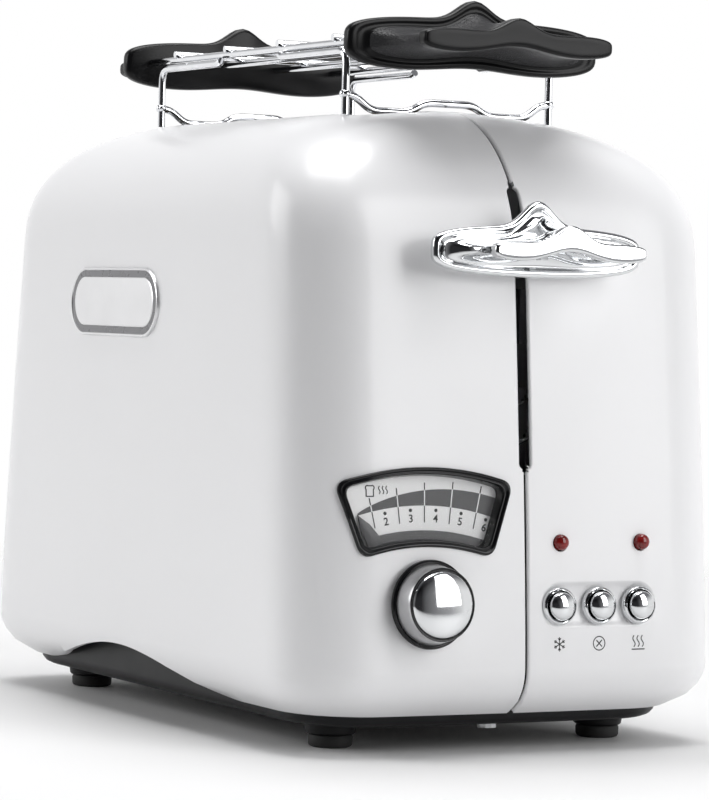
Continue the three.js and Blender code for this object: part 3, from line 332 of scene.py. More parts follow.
zinc_sheet = finish("zinc_plated_sheet", (0.60, 0.61, 0.62), 0.32, 1.0, vary=0.08, haze=0.08,
                    scale=40, grain=300, bump=0.15, depth=0.0001)
stretch(zinc_sheet, (1, 14, 6))
bright_steel = finish("bright_steel", (0.66, 0.67, 0.68), 0.22, 1.0, vary=0.05, haze=0.06,
                      scale=150, grain=600, bump=0.08, depth=0.0001)
copper_winding = finish("copper_winding", (0.62, 0.27, 0.12), 0.3, 1.0, vary=0.1, scale=200,
                        grain=400, bump=0.6, depth=0.0004)
stretch(copper_winding, (0.1, 0.1, 5))
heating_ribbon = finish("heating_ribbon", (0.42, 0.40, 0.38), 0.4, 1.0, vary=0.12, scale=220,
                        grain=900, bump=0.1, depth=0.0001)
solder_mask = finish("green_solder_mask", (0.03, 0.16, 0.07), 0.32, vary=0.25, scale=330,
                     grain=600, bump=0.2, depth=0.0002)
dial_card = finish("dial_card", (0.84, 0.84, 0.84), 0.5, vary=0.012, scale=300, grain=2500,
                   bump=0.1, depth=0.00003)
print_grey = finish("wedge_print", (0.085, 0.085, 0.088), 0.55, vary=0.05, scale=500, grain=2500,
                    bump=0.1, depth=0.00003)
print_black = finish("mark_print", (0.018, 0.018, 0.019), 0.5, vary=0.1, scale=500, grain=2500,
                     bump=0.1, depth=0.00003)
print_white = finish("white_mark_print", (0.86, 0.86, 0.86), 0.5, vary=0.02, scale=500,
                     grain=2500, bump=0.1, depth=0.00003)
badge_plate_metal = finish("badge_satin_metal", (0.74, 0.74, 0.75), 0.30, 0.85, vary=0.03,
                           haze=0.05, scale=70, grain=1200, bump=0.1, depth=0.00005)
badge_enamel = finish("badge_grey_enamel", (0.17, 0.17, 0.18), 0.28, vary=0.05, scale=120,
                      grain=900, bump=0.05, depth=0.00005)

# %% mica flakes, lamp glass and lens
mica = finish("pressed_mica", (0.50, 0.42, 0.28), 0.45, vary=0.15, scale=90, grain=500, bump=0.2,
              depth=0.0002)
mica_tree = mica.node_tree
flakes = add_node(mica_tree, "TexVoronoi", Scale=260)
link(mica_tree, (coordinates(mica_tree), flakes.inputs["Vector"]),
     (flakes.outputs["Color"], mica_tree.nodes["gloss"].inputs["Value"]))
lamp_glass = finish("red_lamp_glass", (0.26, 0.012, 0.012), 0.08, vary=0.3, haze=0.03, scale=420,
                    grain=900, bump=0.1, depth=0.0001, Transmission_Weight=0.25, IOR=1.5)
clear_lens = finish("clear_gauge_lens", (0.40, 0.41, 0.41), 0.03, vary=0.01, haze=0.01, scale=20,
                    Alpha=0.035)


# %% grain only in the dished parts of the rack's handles
RAMP_SCALE = 5


def add_spark_grain(material, smooth_rim, smooth_face):
    """Roughens a moulding between two distances from the rack's middle, in metres along Y."""
    tree = material.node_tree
    place = coordinates(tree)
    black = (0, 0, 0)
    from_middle = add_node(tree, "Mapping", Location=(0, -BODY_MIDDLE.y, 0))
    split = add_node(tree, "SeparateXYZ")
    distance = add_math(tree, "Math", "ABSOLUTE")
    to_ramp = add_math(tree, "Math", "MULTIPLY")
    to_ramp.inputs[1].default_value = RAMP_SCALE
    zone = add_ramp(tree, (0, black), (smooth_face * RAMP_SCALE, black),
                    (smooth_rim * RAMP_SCALE, WHITE))
    zone.color_ramp.interpolation = "CONSTANT"
    sparks = add_node(tree, "TexVoronoi", Scale=1700)
    pits = add_math(tree, "Math", "MULTIPLY")
    relief = tree.nodes["relief"]
    relief.inputs["Strength"].default_value = 0.9
    paler = add_mix(tree)
    paler.inputs["B"].default_value = (0.042, 0.042, 0.044, 1)
    link(tree, (place, from_middle.inputs["Vector"]), (from_middle.outputs["Vector"], split.inputs[0]),
         (split.outputs["Y"], distance.inputs[0]), (distance.outputs[0], to_ramp.inputs[0]),
         (to_ramp.outputs[0], zone.inputs[0]), (place, sparks.inputs["Vector"]),
         (sparks.outputs["Distance"], pits.inputs[0]), (zone.outputs["Color"], pits.inputs[1]),
         (pits.outputs[0], relief.inputs["Height"]), (zone.outputs["Color"], paler.inputs["Factor"]),
         (tree.nodes["tint"].outputs["Color"], paler.inputs["A"]),
         (paler.outputs["Result"], tree.nodes["Principled BSDF"].inputs["Base Color"]))


grained_moulding = finish("spark_grained_moulding", (0.005, 0.005, 0.0055), 0.3, vary=0.15,
                          haze=0.05, scale=80, grain=1400, bump=0.1, depth=0.0002,
                          Specular_IOR_Level=0.2)
GRAIN_START, GRAIN_END = 0.0869, 0.1106
add_spark_grain(grained_moulding, GRAIN_START, GRAIN_END)
print("grain lies between", GRAIN_START, "and", GRAIN_END, "m out from the middle of the rack")

# %% [markdown]
# ## Turning bmesh work into pieces
# Each piece is drawn in millimetres around the body's middle. These helpers move it into the frame
# in metres, give it a finish, shade it smooth up to an edge angle and let it ride on its CAD body.
# Parts that stand square on the leaning front are drawn flat first and then set on the panel's
# plane.


# %% from a bmesh or a curve to a finished piece
SMOOTH_ANGLE = math.radians(32)


def make_piece(name, mesh_work, material, body, slot, stands_for=(), placed=Matrix.Identity(4),
               angle=SMOOTH_ANGLE):
    """Turns a bmesh in millimetres into a piece in the frame."""
    mesh_work.transform(TO_FRAME @ placed)
    mesh = mesh_from(name, mesh_work)
    for polygon in mesh.polygons:
        polygon.use_smooth = True
    mesh.set_sharp_from_angle(angle=angle)
    mesh.materials.append(material)
    piece = into_scene(name, mesh)
    if body:
        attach(piece, body)
    if stands_for:
        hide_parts(*stands_for)
    print(f"{name}: {len(mesh.polygons)} faces")
    return piece


def tidy_faces(work, distance=1e-4):
    """Merges doubles and turns all faces outwards."""
    bmesh.ops.remove_doubles(work, verts=work.verts, dist=distance)
    return face_outward(work)


def add_curve(work, curve, placed=Matrix()):
    """Adds a curve's mesh to a bmesh and removes the curve."""
    path = bpy.data.objects.new(curve.name, curve)
    mesh = path.to_mesh()
    mesh.transform(placed)
    work.from_mesh(mesh)
    path.to_mesh_clear()
    bpy.data.objects.remove(path)
    bpy.data.curves.remove(curve)


def wire(work, points, radius, closed=False, sides=12):
    """Adds a round wire along points, in millimetres, to a bmesh."""
    curve = bpy.data.curves.new("wire_path", "CURVE")
    curve.dimensions = "3D"
    curve.bevel_depth = radius
    curve.bevel_resolution = sides // 4
    curve.use_fill_caps = not closed
    spline = curve.splines.new("POLY")
    spline.points.add(len(points) - 1)
    for spot, point in zip(spline.points, points):
        spot.co = (*point, 1)
    spline.use_cyclic_u = closed
    add_curve(work, curve)


def bent(start, corner, end, t):
    """A point on the smooth curve from start to end that a corner pulls towards itself."""
    return start * (1 - t) ** 2 + corner * 2 * t * (1 - t) + end * t * t


def bend_corners(points, bend, steps=6):
    """The same path with each corner rounded, as a wire bender leaves it."""
    path = [Vector(points[0])]
    for before, corner, after in zip(points, points[1:], points[2:]):
        before, corner, after = Vector(before), Vector(corner), Vector(after)
        cut = min(bend, (corner - before).length * 0.45, (after - corner).length * 0.45)
        start = corner + (before - corner).normalized() * cut
        end = corner + (after - corner).normalized() * cut
        path += [bent(start, corner, end, k / steps) for k in range(steps + 1)]
    path.append(Vector(points[-1]))
    return path


def spun(work, profile, steps=48, axis=(0, -1, 0), centre=(0, 0, 0), side=(1, 0, 0)):
    """Spins a profile of (radius, height along the axis) into a closed turned shape."""
    axis, centre, side = Vector(axis), Vector(centre), Vector(side)
    spots = [work.verts.new(centre + side * radius + axis * rise) for radius, rise in profile]
    edges = [work.edges.new(pair) for pair in zip(spots, spots[1:])]
    bmesh.ops.spin(work, geom=spots + edges, cent=centre, axis=axis, angle=2 * math.pi,
                   steps=steps, use_merge=True)


def turned(name, profile, steps, *looks, placed=Matrix(), **line):
    """Spins a profile into a piece. looks are its material, body, slot and replaced nodes; the slot is
    not used.
    """
    work = bmesh.new()
    spun(work, profile, steps, **line)
    return make_piece(name, tidy_faces(work), *looks, placed=placed)


print("helpers ready")

# %% [markdown]
# ## The body's form
# The steel skin leans in as it rises, tucks under at the bottom and closes over the top like a
# loaf. One flat ring of the body is a rounded rectangle whose ends bulge a little. The ring's half
# sizes shrink with height by four simple rules: the tuck, two leans and two shoulders. A loft
# through such rings is easier to keep exact than a box with sculpted corners, and it is how the CAD
# part is made.

# %% the rules of the form
TUCK_RADIUS, TUCK_TOP = 16, 27
SIDE_LEAN = 1.9
SHOULDER_RISE, SHOULDER_POWER, RIDGE_HALF = 41, 2.55, 2
END_RADIUS = 46
PLAN_CORNER = 25
FACE_BULGE = 0.8
WALL = 1.6


def tuck(z):
    drop = min(max(0, TUCK_TOP - z), TUCK_TOP - EDGE_Z)
    return TUCK_RADIUS - math.sqrt(TUCK_RADIUS ** 2 - drop ** 2)


def ring_size(z):
    """Half width, half length and corner radius of the body's ring at a height."""
    side_share = min(1, max(0, (z - BODY_TOP + SHOULDER_RISE) / SHOULDER_RISE))
    reach = HALF_WIDTH - SIDE_LEAN - RIDGE_HALF
    side_round = reach * (1 - max(0, 1 - side_share ** SHOULDER_POWER) ** (1 / SHOULDER_POWER))
    lean = SIDE_LEAN * max(0, z - TUCK_TOP) / (BODY_TOP - TUCK_TOP)
    half_x = HALF_WIDTH - tuck(z) - lean - side_round
    end_share = min(1, max(0, (z - BODY_TOP + END_RADIUS) / END_RADIUS))
    end_round = END_RADIUS * (1 - math.sqrt(1 - end_share ** 2))
    end_lean = 0.0242 * max(0, z - 25) ** 1.25
    half_y = HALF_LENGTH - FACE_BULGE - tuck(z) - end_lean - end_round
    return half_x, half_y, min(PLAN_CORNER, half_x - 0.6, half_y - 0.6)


def ring_points(z, corner_steps=9, end_steps=22, side_steps=40):
    """The ring at a height, anticlockwise from the front end of the right side."""
    half_x, half_y, radius = ring_size(z)
    flat_x, flat_y = half_x - radius, half_y - radius
    points = []
    for quarter, (sx, sy) in enumerate(((1, -1), (1, 1), (-1, 1), (-1, -1))):
        turn = (quarter - 1) * math.pi / 2
        for k in range(corner_steps + 1):
            angle = turn + k * math.pi / 2 / corner_steps
            x = sx * flat_x + radius * math.cos(angle)
            points.append((x, sy * flat_y + radius * math.sin(angle), z))
        steps = end_steps if quarter % 2 else side_steps
        for k in range(1, steps):
            t = 1 - 2 * k / steps
            if quarter % 2:
                points.append((sx * flat_x * t, sy * (half_y + FACE_BULGE * (1 - t * t)), z))
            else:
                points.append((sx * half_x, sx * -flat_y * t, z))
    return points


def body_levels():
    tuck_levels = [EDGE_Z + (TUCK_TOP - EDGE_Z) * math.sin(k * math.pi / 12) for k in range(6)]
    wall_levels = [TUCK_TOP + (158 - TUCK_TOP) * k / 22 for k in range(23)]
    shoulder = BODY_TOP - SHOULDER_RISE
    round_levels = [
        shoulder + SHOULDER_RISE * math.sin(k * math.pi / 64) ** (2 / SHOULDER_POWER)
        for k in range(0, 33)]
    return tuck_levels + wall_levels + [161.5] + round_levels


print("ring at half height:", [round(v, 1) for v in ring_size(100)])


# %% loft the skin, ring by ring
def loft(work, rings, close_top=True):
    """Extrudes a first ring level by level and sets each new ring on its points."""
    ring = bmesh.ops.create_circle(work, segments=len(rings[0]), radius=1)["verts"]
    for vertex, point in zip(ring, rings[0]):
        vertex.co = point
    edges = list({e for v in ring for e in v.link_edges})
    for points in rings[1:]:
        grown = bmesh.ops.extrude_edge_only(work, edges=edges)["geom"]
        spots = [g for g in grown if isinstance(g, bmesh.types.BMVert)]
        edges = [g for g in grown if isinstance(g, bmesh.types.BMEdge)]
        sources = {}
        for spot in spots:
            for edge in spot.link_edges:
                other = edge.other_vert(spot)
                if other in ring:
                    sources[other] = spot
        ring = [sources[v] for v in ring]
        for vertex, point in zip(ring, points):
            vertex.co = point
    if close_top:
        bmesh.ops.contextual_create(work, geom=edges)
    return work


skin = loft(bmesh.new(), [ring_points(z) for z in body_levels()])
face_outward(skin)
SKIN_TREE = BVHTree.FromBMesh(skin)
print("skin faces:", len(skin.faces))


# %% find the skin from outside
def drop(start, heading, above=0.0):
    """The point on the skin that a straight line meets, moved out along the skin's normal."""
    place, normal, _, _ = SKIN_TREE.ray_cast(Vector(start), Vector(heading))
    if normal.dot(Vector(heading)) > 0:
        normal = -normal
    return place + normal * above


FAR = 400
FRONT_PLACE = drop((0, -FAR, 63), (0, 1, 0))
print("front face at the panel's height:", round(FRONT_PLACE.y, 2))

# %% [markdown]
# ## Openings and hemmed edges
# Press tools punch the slots out of the skin and then fold their edges inward, so no raw edge
# shows. The openings are cut with one boolean, a little wide, and a bead half as thick as the hem
# is laid along the toast slots, the lever slot and the seam. The bead's round face is what the light
# catches on the real toaster.

# %% outlines of the openings
HEM = WALL / 2
SEAM_HALF = 0.38


def pill(cx, cz, width, height, steps=12):
    """A pill or a circle as (x, z) points, the ends on the shorter side round."""
    radius = min(width, height) / 2
    reach_x, reach_z = width / 2 - radius, height / 2 - radius
    points = []
    for k in range(4 * steps):
        angle = (k + 0.5) * math.pi / 2 / steps
        x = cx + math.copysign(reach_x, math.cos(angle)) + radius * math.cos(angle)
        points.append((x, cz + math.copysign(reach_z, math.sin(angle)) + radius * math.sin(angle)))
    return points


def rounded_box(cx, cz, width, height, radius, steps=6):
    """A rectangle with round corners as (x, z) points."""
    points = []
    for quarter, (sx, sz) in enumerate(((1, 1), (-1, 1), (-1, -1), (1, -1))):
        for k in range(steps + 1):
            angle = (quarter + k / steps) * math.pi / 2
            x = cx + sx * (width / 2 - radius) + radius * math.cos(angle)
            points.append((x, cz + sz * (height / 2 - radius) + radius * math.sin(angle)))
    return points


def prism(work, outline, axis, start, end):
    """Extrudes an (a, b) outline along Y (a is x, b is z), along Z (x, y) or along X (y, z)."""
    order = {"Y": lambda a, b, d: (a, d, b), "Z": lambda a, b, d: (a, b, d),
             "X": lambda a, b, d: (d, a, b)}[axis]
    spots = [work.verts.new(order(a, b, start)) for a, b in outline]
    face = work.faces.new(spots)
    grown = bmesh.ops.extrude_face_region(work, geom=[face])["geom"]
    shift = order(0, 0, end - start)
    moved = [g for g in grown if isinstance(g, bmesh.types.BMVert)]
    bmesh.ops.translate(work, verts=moved, vec=shift)
    work.faces.ensure_lookup_table()
    return moved


def spaced(outline, step=2.5):
    """The same closed outline with points added, so that it can follow a curved skin."""
    points = []
    for a, b in zip(outline, outline[1:] + outline[:1]):
        gap = math.dist(a, b)
        count = max(1, round(gap / step))
        for k in range(count):
            points.append(tuple(p + (q - p) * k / count for p, q in zip(a, b)))
    return points


# %% the gauge's outline, a slice of a ring
GAUGE_X = round(middle_mm("knob_cap").x, 1)
GAUGE_TOP, GAUGE_OUTER, GAUGE_INNER = 91.2, 98, 73
GAUGE_HALF_ANGLE = math.radians(18.5)
GAUGE_CENTRE = GAUGE_TOP - GAUGE_OUTER


def gauge_outline(grow, corner, edge_steps=14, corner_steps=8):
    """The gauge's outline widened by grow, always with the same number of points."""
    outer, inner = GAUGE_OUTER + grow, GAUGE_INNER - grow

    def sharp(radius, side):
        angle = side * (GAUGE_HALF_ANGLE + grow / radius)
        return Vector((GAUGE_X + radius * math.sin(angle), GAUGE_CENTRE + radius * math.cos(angle)))

    corners = [sharp(inner, -1), sharp(inner, 1), sharp(outer, 1), sharp(outer, -1)]
    arcs = [inner, None, outer, None]
    sides = []
    for k, start in enumerate(corners):
        end = corners[(k + 1) % 4]
        skip = corner / (end - start).length
        side = []
        for i in range(edge_steps + 1):
            point = start.lerp(end, skip + (1 - 2 * skip) * i / edge_steps)
            if arcs[k]:
                centre = Vector((GAUGE_X, GAUGE_CENTRE))
                point = centre + (point - centre).normalized() * arcs[k]
            side.append(point)
        sides.append(side)
    points = []
    for k in range(4):
        points += sides[k]
        start, bend, end = sides[k][-1], corners[(k + 1) % 4], sides[(k + 1) % 4][0]
        points += [bent(start, bend, end, i / corner_steps) for i in range(1, corner_steps)]
    return [(p.x, p.y) for p in points]


print("gauge outline points:", len(gauge_outline(0, 4)))

# %% read the other openings from the frame
PANEL_TILT = math.radians(4.2)
PANEL = (Matrix.Translation((0, FRONT_PLACE.y, 63))
         @ Matrix.Rotation(-PANEL_TILT, 4, "X"))
SLOT_X, SLOT_WIDTH, SLOT_HALF = 22, 28, 75
LEVER_SLOT_LOW, LEVER_SLOT_HIGH = 90.5, 180.5
BUTTONS = ("defrost", "cancel", "reheat")
BUTTON_PLACES = {name: middle_mm(name + "_button_ring") for name in BUTTONS}
LAMP_PLACES = {name: middle_mm(name) for name in ("power_lamp", "function_lamp")}
KNOB_Z = round(middle_mm("knob_cap").z, 1)
GLAND = middle_mm("cord_gland")
MOUTH_HALF, MOUTH_LOW, MOUTH_HIGH = 54, 27.5, 37.5
ARCH_MIDDLE, ARCH_HALF, ARCH_TOP = 8, 77, 24


def panel_height(z):
    """A height on the body as a height on the leaning panel."""
    return (z - 63) / math.cos(PANEL_TILT)


def arch_height(y):
    share = min(1, abs(y - ARCH_MIDDLE) / ARCH_HALF)
    return EDGE_Z + (ARCH_TOP - EDGE_Z) * math.cos(share * math.pi / 2) ** 1.5


print("buttons at x", [round(p.x, 1) for p in BUTTON_PLACES.values()], "knob at z", KNOB_Z)


# %% tools that cut the skin
def tool(name, work):
    return into_scene(name, mesh_from(name, face_outward(work)))


def cut_by(shape, tools):
    """Cuts a shape by tools, removes them all and returns the cut mesh."""
    for cutter in tools:
        boolean = shape.modifiers.new(cutter.name, "BOOLEAN")
        boolean.object = cutter
        boolean.solver = "EXACT"
    bpy.context.view_layer.update()
    made = bpy.data.meshes.new_from_object(
        shape.evaluated_get(bpy.context.evaluated_depsgraph_get()))
    for leftover in (shape, *tools):
        bpy.data.objects.remove(leftover)
    return made


PUNCH_OUT, PUNCH_IN = 160, 110


def punch_front(outline, stop=PUNCH_IN):
    prism(punches, outline, "Y", -PUNCH_OUT, -stop)


def punch_rear(outline):
    prism(punches, outline, "Y", PUNCH_IN, PUNCH_OUT)


LEVER_SLOT_WIDTH, SHAFT_HOLE, LAMP_HOLE, GLAND_HOLE = 4, 9, 5.6, 12.6
POCKET_X, POCKET_Z, POCKET_WIDTH, POCKET_HEIGHT = 27, 47.6, 44, 15
punches = bmesh.new()
for side in (-1, 1):
    outline = rounded_box(side * SLOT_X, 0, SLOT_WIDTH + 2 * HEM, 2 * SLOT_HALF + 2 * HEM, 6 + HEM)
    prism(punches, outline, "Z", 170, 230)
lever_outline = pill(0, (LEVER_SLOT_LOW + LEVER_SLOT_HIGH) / 2, LEVER_SLOT_WIDTH + 2 * HEM,
                     LEVER_SLOT_HIGH - LEVER_SLOT_LOW + 2 * HEM)
punch_front(lever_outline, 95)
punch_front(gauge_outline(-0.6, 3.6))
punch_front(pill(GAUGE_X, KNOB_Z, SHAFT_HOLE, SHAFT_HOLE))
for place in LAMP_PLACES.values():
    punch_front(pill(place.x, place.z, LAMP_HOLE, LAMP_HOLE))
punch_front(pill(POCKET_X, POCKET_Z, POCKET_WIDTH - HEM / 2, POCKET_HEIGHT - HEM / 2))
punch_rear(rounded_box(0, (MOUTH_LOW + MOUTH_HIGH) / 2, 2 * MOUTH_HALF, MOUTH_HIGH - MOUTH_LOW, 2))
punch_rear(pill(GLAND.x, GLAND.z, GLAND_HOLE, GLAND_HOLE))
punch_tool = tool("punches", punches)

splitters = bmesh.new()
cut_half = SEAM_HALF + HEM
seam = [(-cut_half, -300), (cut_half, -300), (cut_half, 300), (-cut_half, 300)]
prism(splitters, seam, "Z", -20, 260)
arch_tool_work = bmesh.new()
arch_y = [ARCH_MIDDLE + ARCH_HALF * (-1 + k / 20) for k in range(41)]
arch_outline = [(y, arch_height(y)) for y in arch_y] + [(arch_y[-1], 0), (arch_y[0], 0)]
prism(arch_tool_work, arch_outline, "X", -160, 160)
seam_tool = tool("seam_tool", splitters)
arch_tool = tool("arch_tool", arch_tool_work)
print("cutting tools ready")

# %% cut the skin and split it at the seam
skin_object = into_scene("skin", mesh_from("skin", skin))
thickness = skin_object.modifiers.new("wall", "SOLIDIFY")
thickness.thickness = WALL
thickness.offset = -1
cut_skin = cut_by(skin_object, (punch_tool, arch_tool, seam_tool))
print("cut skin faces:", len(cut_skin.polygons))


# %% hems along the cuts
def hem_path(points, heading, closed=True):
    """Drops a path on the skin and sinks it to the middle of the wall."""
    reach = Vector(heading) * -FAR
    return [drop(Vector(p) + reach, heading, -HEM) for p in points]


def toast_slot_rim(side):
    flat = rounded_box(side * SLOT_X, 0, SLOT_WIDTH + 2 * HEM, 2 * SLOT_HALF + 2 * HEM, 6 + HEM)
    return hem_path([(x, y, 0) for x, y in spaced(flat)], (0, 0, -1))


def lever_slot_rim(side):
    """One side's half of the lever slot's edge, from its lower end to its upper end."""
    flat = [(x, z) for x, z in spaced(lever_outline) if x * side > SEAM_HALF + HEM]
    flat.sort(key=lambda p: p[1])
    return hem_path([(x, 0, z) for x, z in flat], (0, 1, 0))


def seam_rims(side):
    """The seam's edge below the lever slot, and from its upper end over the top to the rear."""
    x = side * (SEAM_HALF + HEM)
    low = [(x, 0, EDGE_Z + 0.4 + k * (LEVER_SLOT_LOW - HEM - EDGE_Z - 0.4) / 40) for k in range(41)]
    below = hem_path(low, (0, 1, 0))
    turns = [math.radians(a / 2) for a in range(-180, 181, 3)]
    hub = Vector((x, 0, 110))
    over = []
    for turn in turns:
        outward = Vector((0, math.sin(turn), math.cos(turn)))
        over.append(drop(hub + outward * FAR, -outward, -HEM))
    over = [p for p in over if p.y > 0 or p.z > LEVER_SLOT_HIGH + HEM]
    rear = [(x, 0, 108 - k * (108 - EDGE_Z - 0.4) / 40) for k in range(41)]
    return below, over + hem_path(rear, (0, -1, 0))


print("hem paths:", len(toast_slot_rim(1)), "points round a toast slot")

# %% the two shells
for name, side in (("left_shell", -1), ("right_shell", 1)):
    work = bmesh.new()
    work.from_mesh(cut_skin)
    bmesh.ops.delete(work, geom=[v for v in work.verts if v.co.x * side < 0], context="VERTS")
    wire(work, toast_slot_rim(side), HEM, closed=True)
    wire(work, lever_slot_rim(side), HEM)
    for rim in seam_rims(side):
        wire(work, rim, HEM)
    make_piece(name + "_skin", work, white_enamel, "housing", "white_paint", [name],
               angle=math.radians(40))

# %% [markdown]
# ## The button pocket
# The three buttons sit in a shallow pill shaped dish pressed into the front. Its edge is soft, so
# it is its own small plate: an outline on the panel's plane, drawn in by a few rings that curve
# down to the floor. The button rings stand in it.

# %% button pocket
pocket = bmesh.new()
rings = []
for inset, depth in ((-0.6, 0.9), (-0.3, 0.1), (0, 0), (0.4, 0.08), (0.9, 0.36), (1.4, 0.74),
                     (2.0, 1.04), (2.7, 1.17), (5.4, 1.2)):
    flat = pill(POCKET_X, panel_height(POCKET_Z), POCKET_WIDTH - 2 * inset,
                POCKET_HEIGHT - 2 * inset)
    rings.append([(x, depth + FACE_BULGE * (x / 55) ** 2, z) for x, z in flat])
loft(pocket, rings)
face_outward(pocket)
make_piece("button_pocket", pocket, white_enamel, "housing", "white_paint", placed=PANEL)

# %% [markdown]
# ## The browning gauge
# The gauge is a glossy frame with two round ridges around a recessed card. The frame is lofted
# along the gauge's outline: each ring has its own width and its own height above the skin, so the
# frame follows the body's curve. The card carries a wedge that widens with the browning, five ticks
# that turn white where they cross it, dots and numbers. A small slice of bread stands in for the
# wording.


# %% gauge bezel
def on_front(points, above):
    return [drop((x, -FAR, z), (0, 1, 0), above) for x, z in points]


bezel_profile = (
    (0.1, -0.6), (0.0, 0.3), (-0.1, 0.8), (-0.35, 1.1), (-0.65, 1.2), (-0.95, 1.1), (-1.15, 0.8),
    (-1.3, 0.6), (-1.5, 0.65), (-1.7, 0.8), (-1.9, 0.8), (-2.1, 0.6), (-2.25, 0.2),
    (-2.35, -0.3), (-2.5, -1.9), (-2.7, -3.5))
bezel = bmesh.new()
loft(bezel, [on_front(gauge_outline(grow, 4.4 + grow * 0.4), above)
             for grow, above in bezel_profile], close_top=False)
face_outward(bezel)
make_piece("gauge_frame", bezel, gloss_moulding, "housing", "gloss_black", ["gauge_bezel"])

lens = bmesh.new()
lens_edge = gauge_outline(-2.3, 3.4)
loft(lens, [on_front([(GAUGE_X + (x - GAUGE_X) * s, 78 + (z - 78) * s) for x, z in lens_edge], -0.2)
            for s in (1, 0.8, 0.55, 0.3)])
face_outward(lens)
make_piece("gauge_window", lens, clear_lens, "housing", "clear_lens", ["gauge_lens"])
card = bmesh.new()
prism(card, [(x, panel_height(z)) for x, z in gauge_outline(-2.65, 3.2)], "Y", 4.6, 3.63)
face_outward(card)
make_piece("gauge_card", card, dial_card, "housing", "dial_print", ["gauge_dial"], placed=PANEL)
print("gauge frame, window and card")

# %% the scale on the card
CARD_DEPTH = 3.6
HUB_Z = panel_height(GAUGE_CENTRE)


def about_hub(radius, degrees):
    angle = math.radians(degrees)
    return GAUGE_X + radius * math.sin(angle), HUB_Z + radius * math.cos(angle)


def print_patch(work, outline, depth, thickness=0.05):
    """A thin printed area on the card, drawn as (x, z) on the panel."""
    prism(work, outline, "Y", depth, depth - thickness)


WEDGE_START, WEDGE_END = -15.4, 17.2
WEDGE_FOOT, WEDGE_THIN, WEDGE_GROWTH = 86.3, 86.9, 5.6
TICK_FOOT, TICK_WIDTH, MARK_RADIUS = 81, 0.36, 86
DOT_RADIUS, DOT_SIZE = 84.9, 1.15


def wedge_top(degrees):
    """The wedge's upper edge widens steadily from its thin end to its thick end."""
    share = (degrees - WEDGE_START) / (WEDGE_END - WEDGE_START)
    return WEDGE_THIN + WEDGE_GROWTH * math.sin(math.pi / 2 * min(1, share)) ** 0.8


sweep = [WEDGE_START + (WEDGE_END - WEDGE_START) * k / 30 for k in range(31)]
wedge = bmesh.new()
print_patch(wedge, [about_hub(WEDGE_FOOT, a) for a in sweep]
            + [about_hub(wedge_top(a), a) for a in reversed(sweep)], CARD_DEPTH)
make_piece("scale_wedge", wedge, print_grey, "housing", "dial_print", placed=PANEL)

TICKS = [-12.0 + 6.3 * k for k in range(5)]
dark_marks, white_marks = bmesh.new(), bmesh.new()


def tick(work, degrees, low, high, depth=CARD_DEPTH):
    half = math.degrees(TICK_WIDTH / 2 / MARK_RADIUS)
    print_patch(work, [about_hub(low, degrees - half), about_hub(low, degrees + half),
                       about_hub(high, degrees + half), about_hub(high, degrees - half)], depth)


for degrees in TICKS:
    tick(dark_marks, degrees, TICK_FOOT, WEDGE_FOOT - 0.1)
    tick(dark_marks, degrees, wedge_top(degrees) + 0.1, wedge_top(degrees) + 2.4)
    tick(white_marks, degrees, WEDGE_FOOT, wedge_top(degrees), CARD_DEPTH - 0.05)
NUMBER_ANGLES = [-9.0 + 6.2 * k for k in range(5)]
for degrees in NUMBER_ANGLES:
    x, z = about_hub(DOT_RADIUS, degrees)
    print_patch(dark_marks, pill(x, z, DOT_SIZE, DOT_SIZE, 5), CARD_DEPTH)
print("wedge, ticks and dots")


# %% numbers on the scale
def flat_text(work, text, x, z, size, depth, turn=0.0, thickness=0.05):
    """Adds a character as a thin solid, upright on the panel, turned clockwise by degrees."""
    curve = bpy.data.curves.new("figure", "FONT")
    curve.body = text
    curve.size = size
    curve.align_x = "CENTER"
    curve.align_y = "CENTER"
    curve.extrude = thickness / 2
    curve.resolution_u = 3
    curve.offset = 0.05
    add_curve(work, curve, Matrix.Translation((x, depth - thickness / 2, z))
              @ Matrix.Rotation(math.radians(turn), 4, "Y")
              @ Matrix.Rotation(math.pi / 2, 4, "X"))


NUMBER_RADIUS, NUMBER_SIZE = 82.2, 3.5
for number, degrees in enumerate(NUMBER_ANGLES, start=2):
    x, z = about_hub(NUMBER_RADIUS, degrees)
    flat_text(dark_marks, str(number), x, z, NUMBER_SIZE, CARD_DEPTH, turn=degrees)


def stroke(work, points, width, depth, thickness=0.05, closed=False):
    """A printed line of even width along (x, z) points."""
    ends = points[1:] + points[:1] if closed else points[1:]
    for (ax, az), (bx, bz) in zip(points, ends):
        run = Vector((bx - ax, bz - az))
        across = Vector((-run.y, run.x)).normalized() * width / 2
        end = run.normalized() * width * 0.25
        corners = [(ax - end.x + across.x, az - end.y + across.y),
                   (ax - end.x - across.x, az - end.y - across.y),
                   (bx + end.x - across.x, bz + end.y - across.y),
                   (bx + end.x + across.x, bz + end.y + across.y)]
        prism(work, corners, "Y", depth, depth - thickness)


def bread_slice(cx, cz, size):
    """The outline of a slice of tin loaf, with its two lobes on top."""
    points = [(-0.38, -0.5), (0.38, -0.5), (0.38, 0.12)]
    points += [(0.26 + 0.2 * math.cos(a), 0.3 + 0.2 * math.sin(a))
               for a in (math.radians(d) for d in range(-30, 121, 30))]
    points += [(-x, z) for x, z in reversed(points[2:])]
    return [(cx + x * size, cz + z * size) for x, z in points]


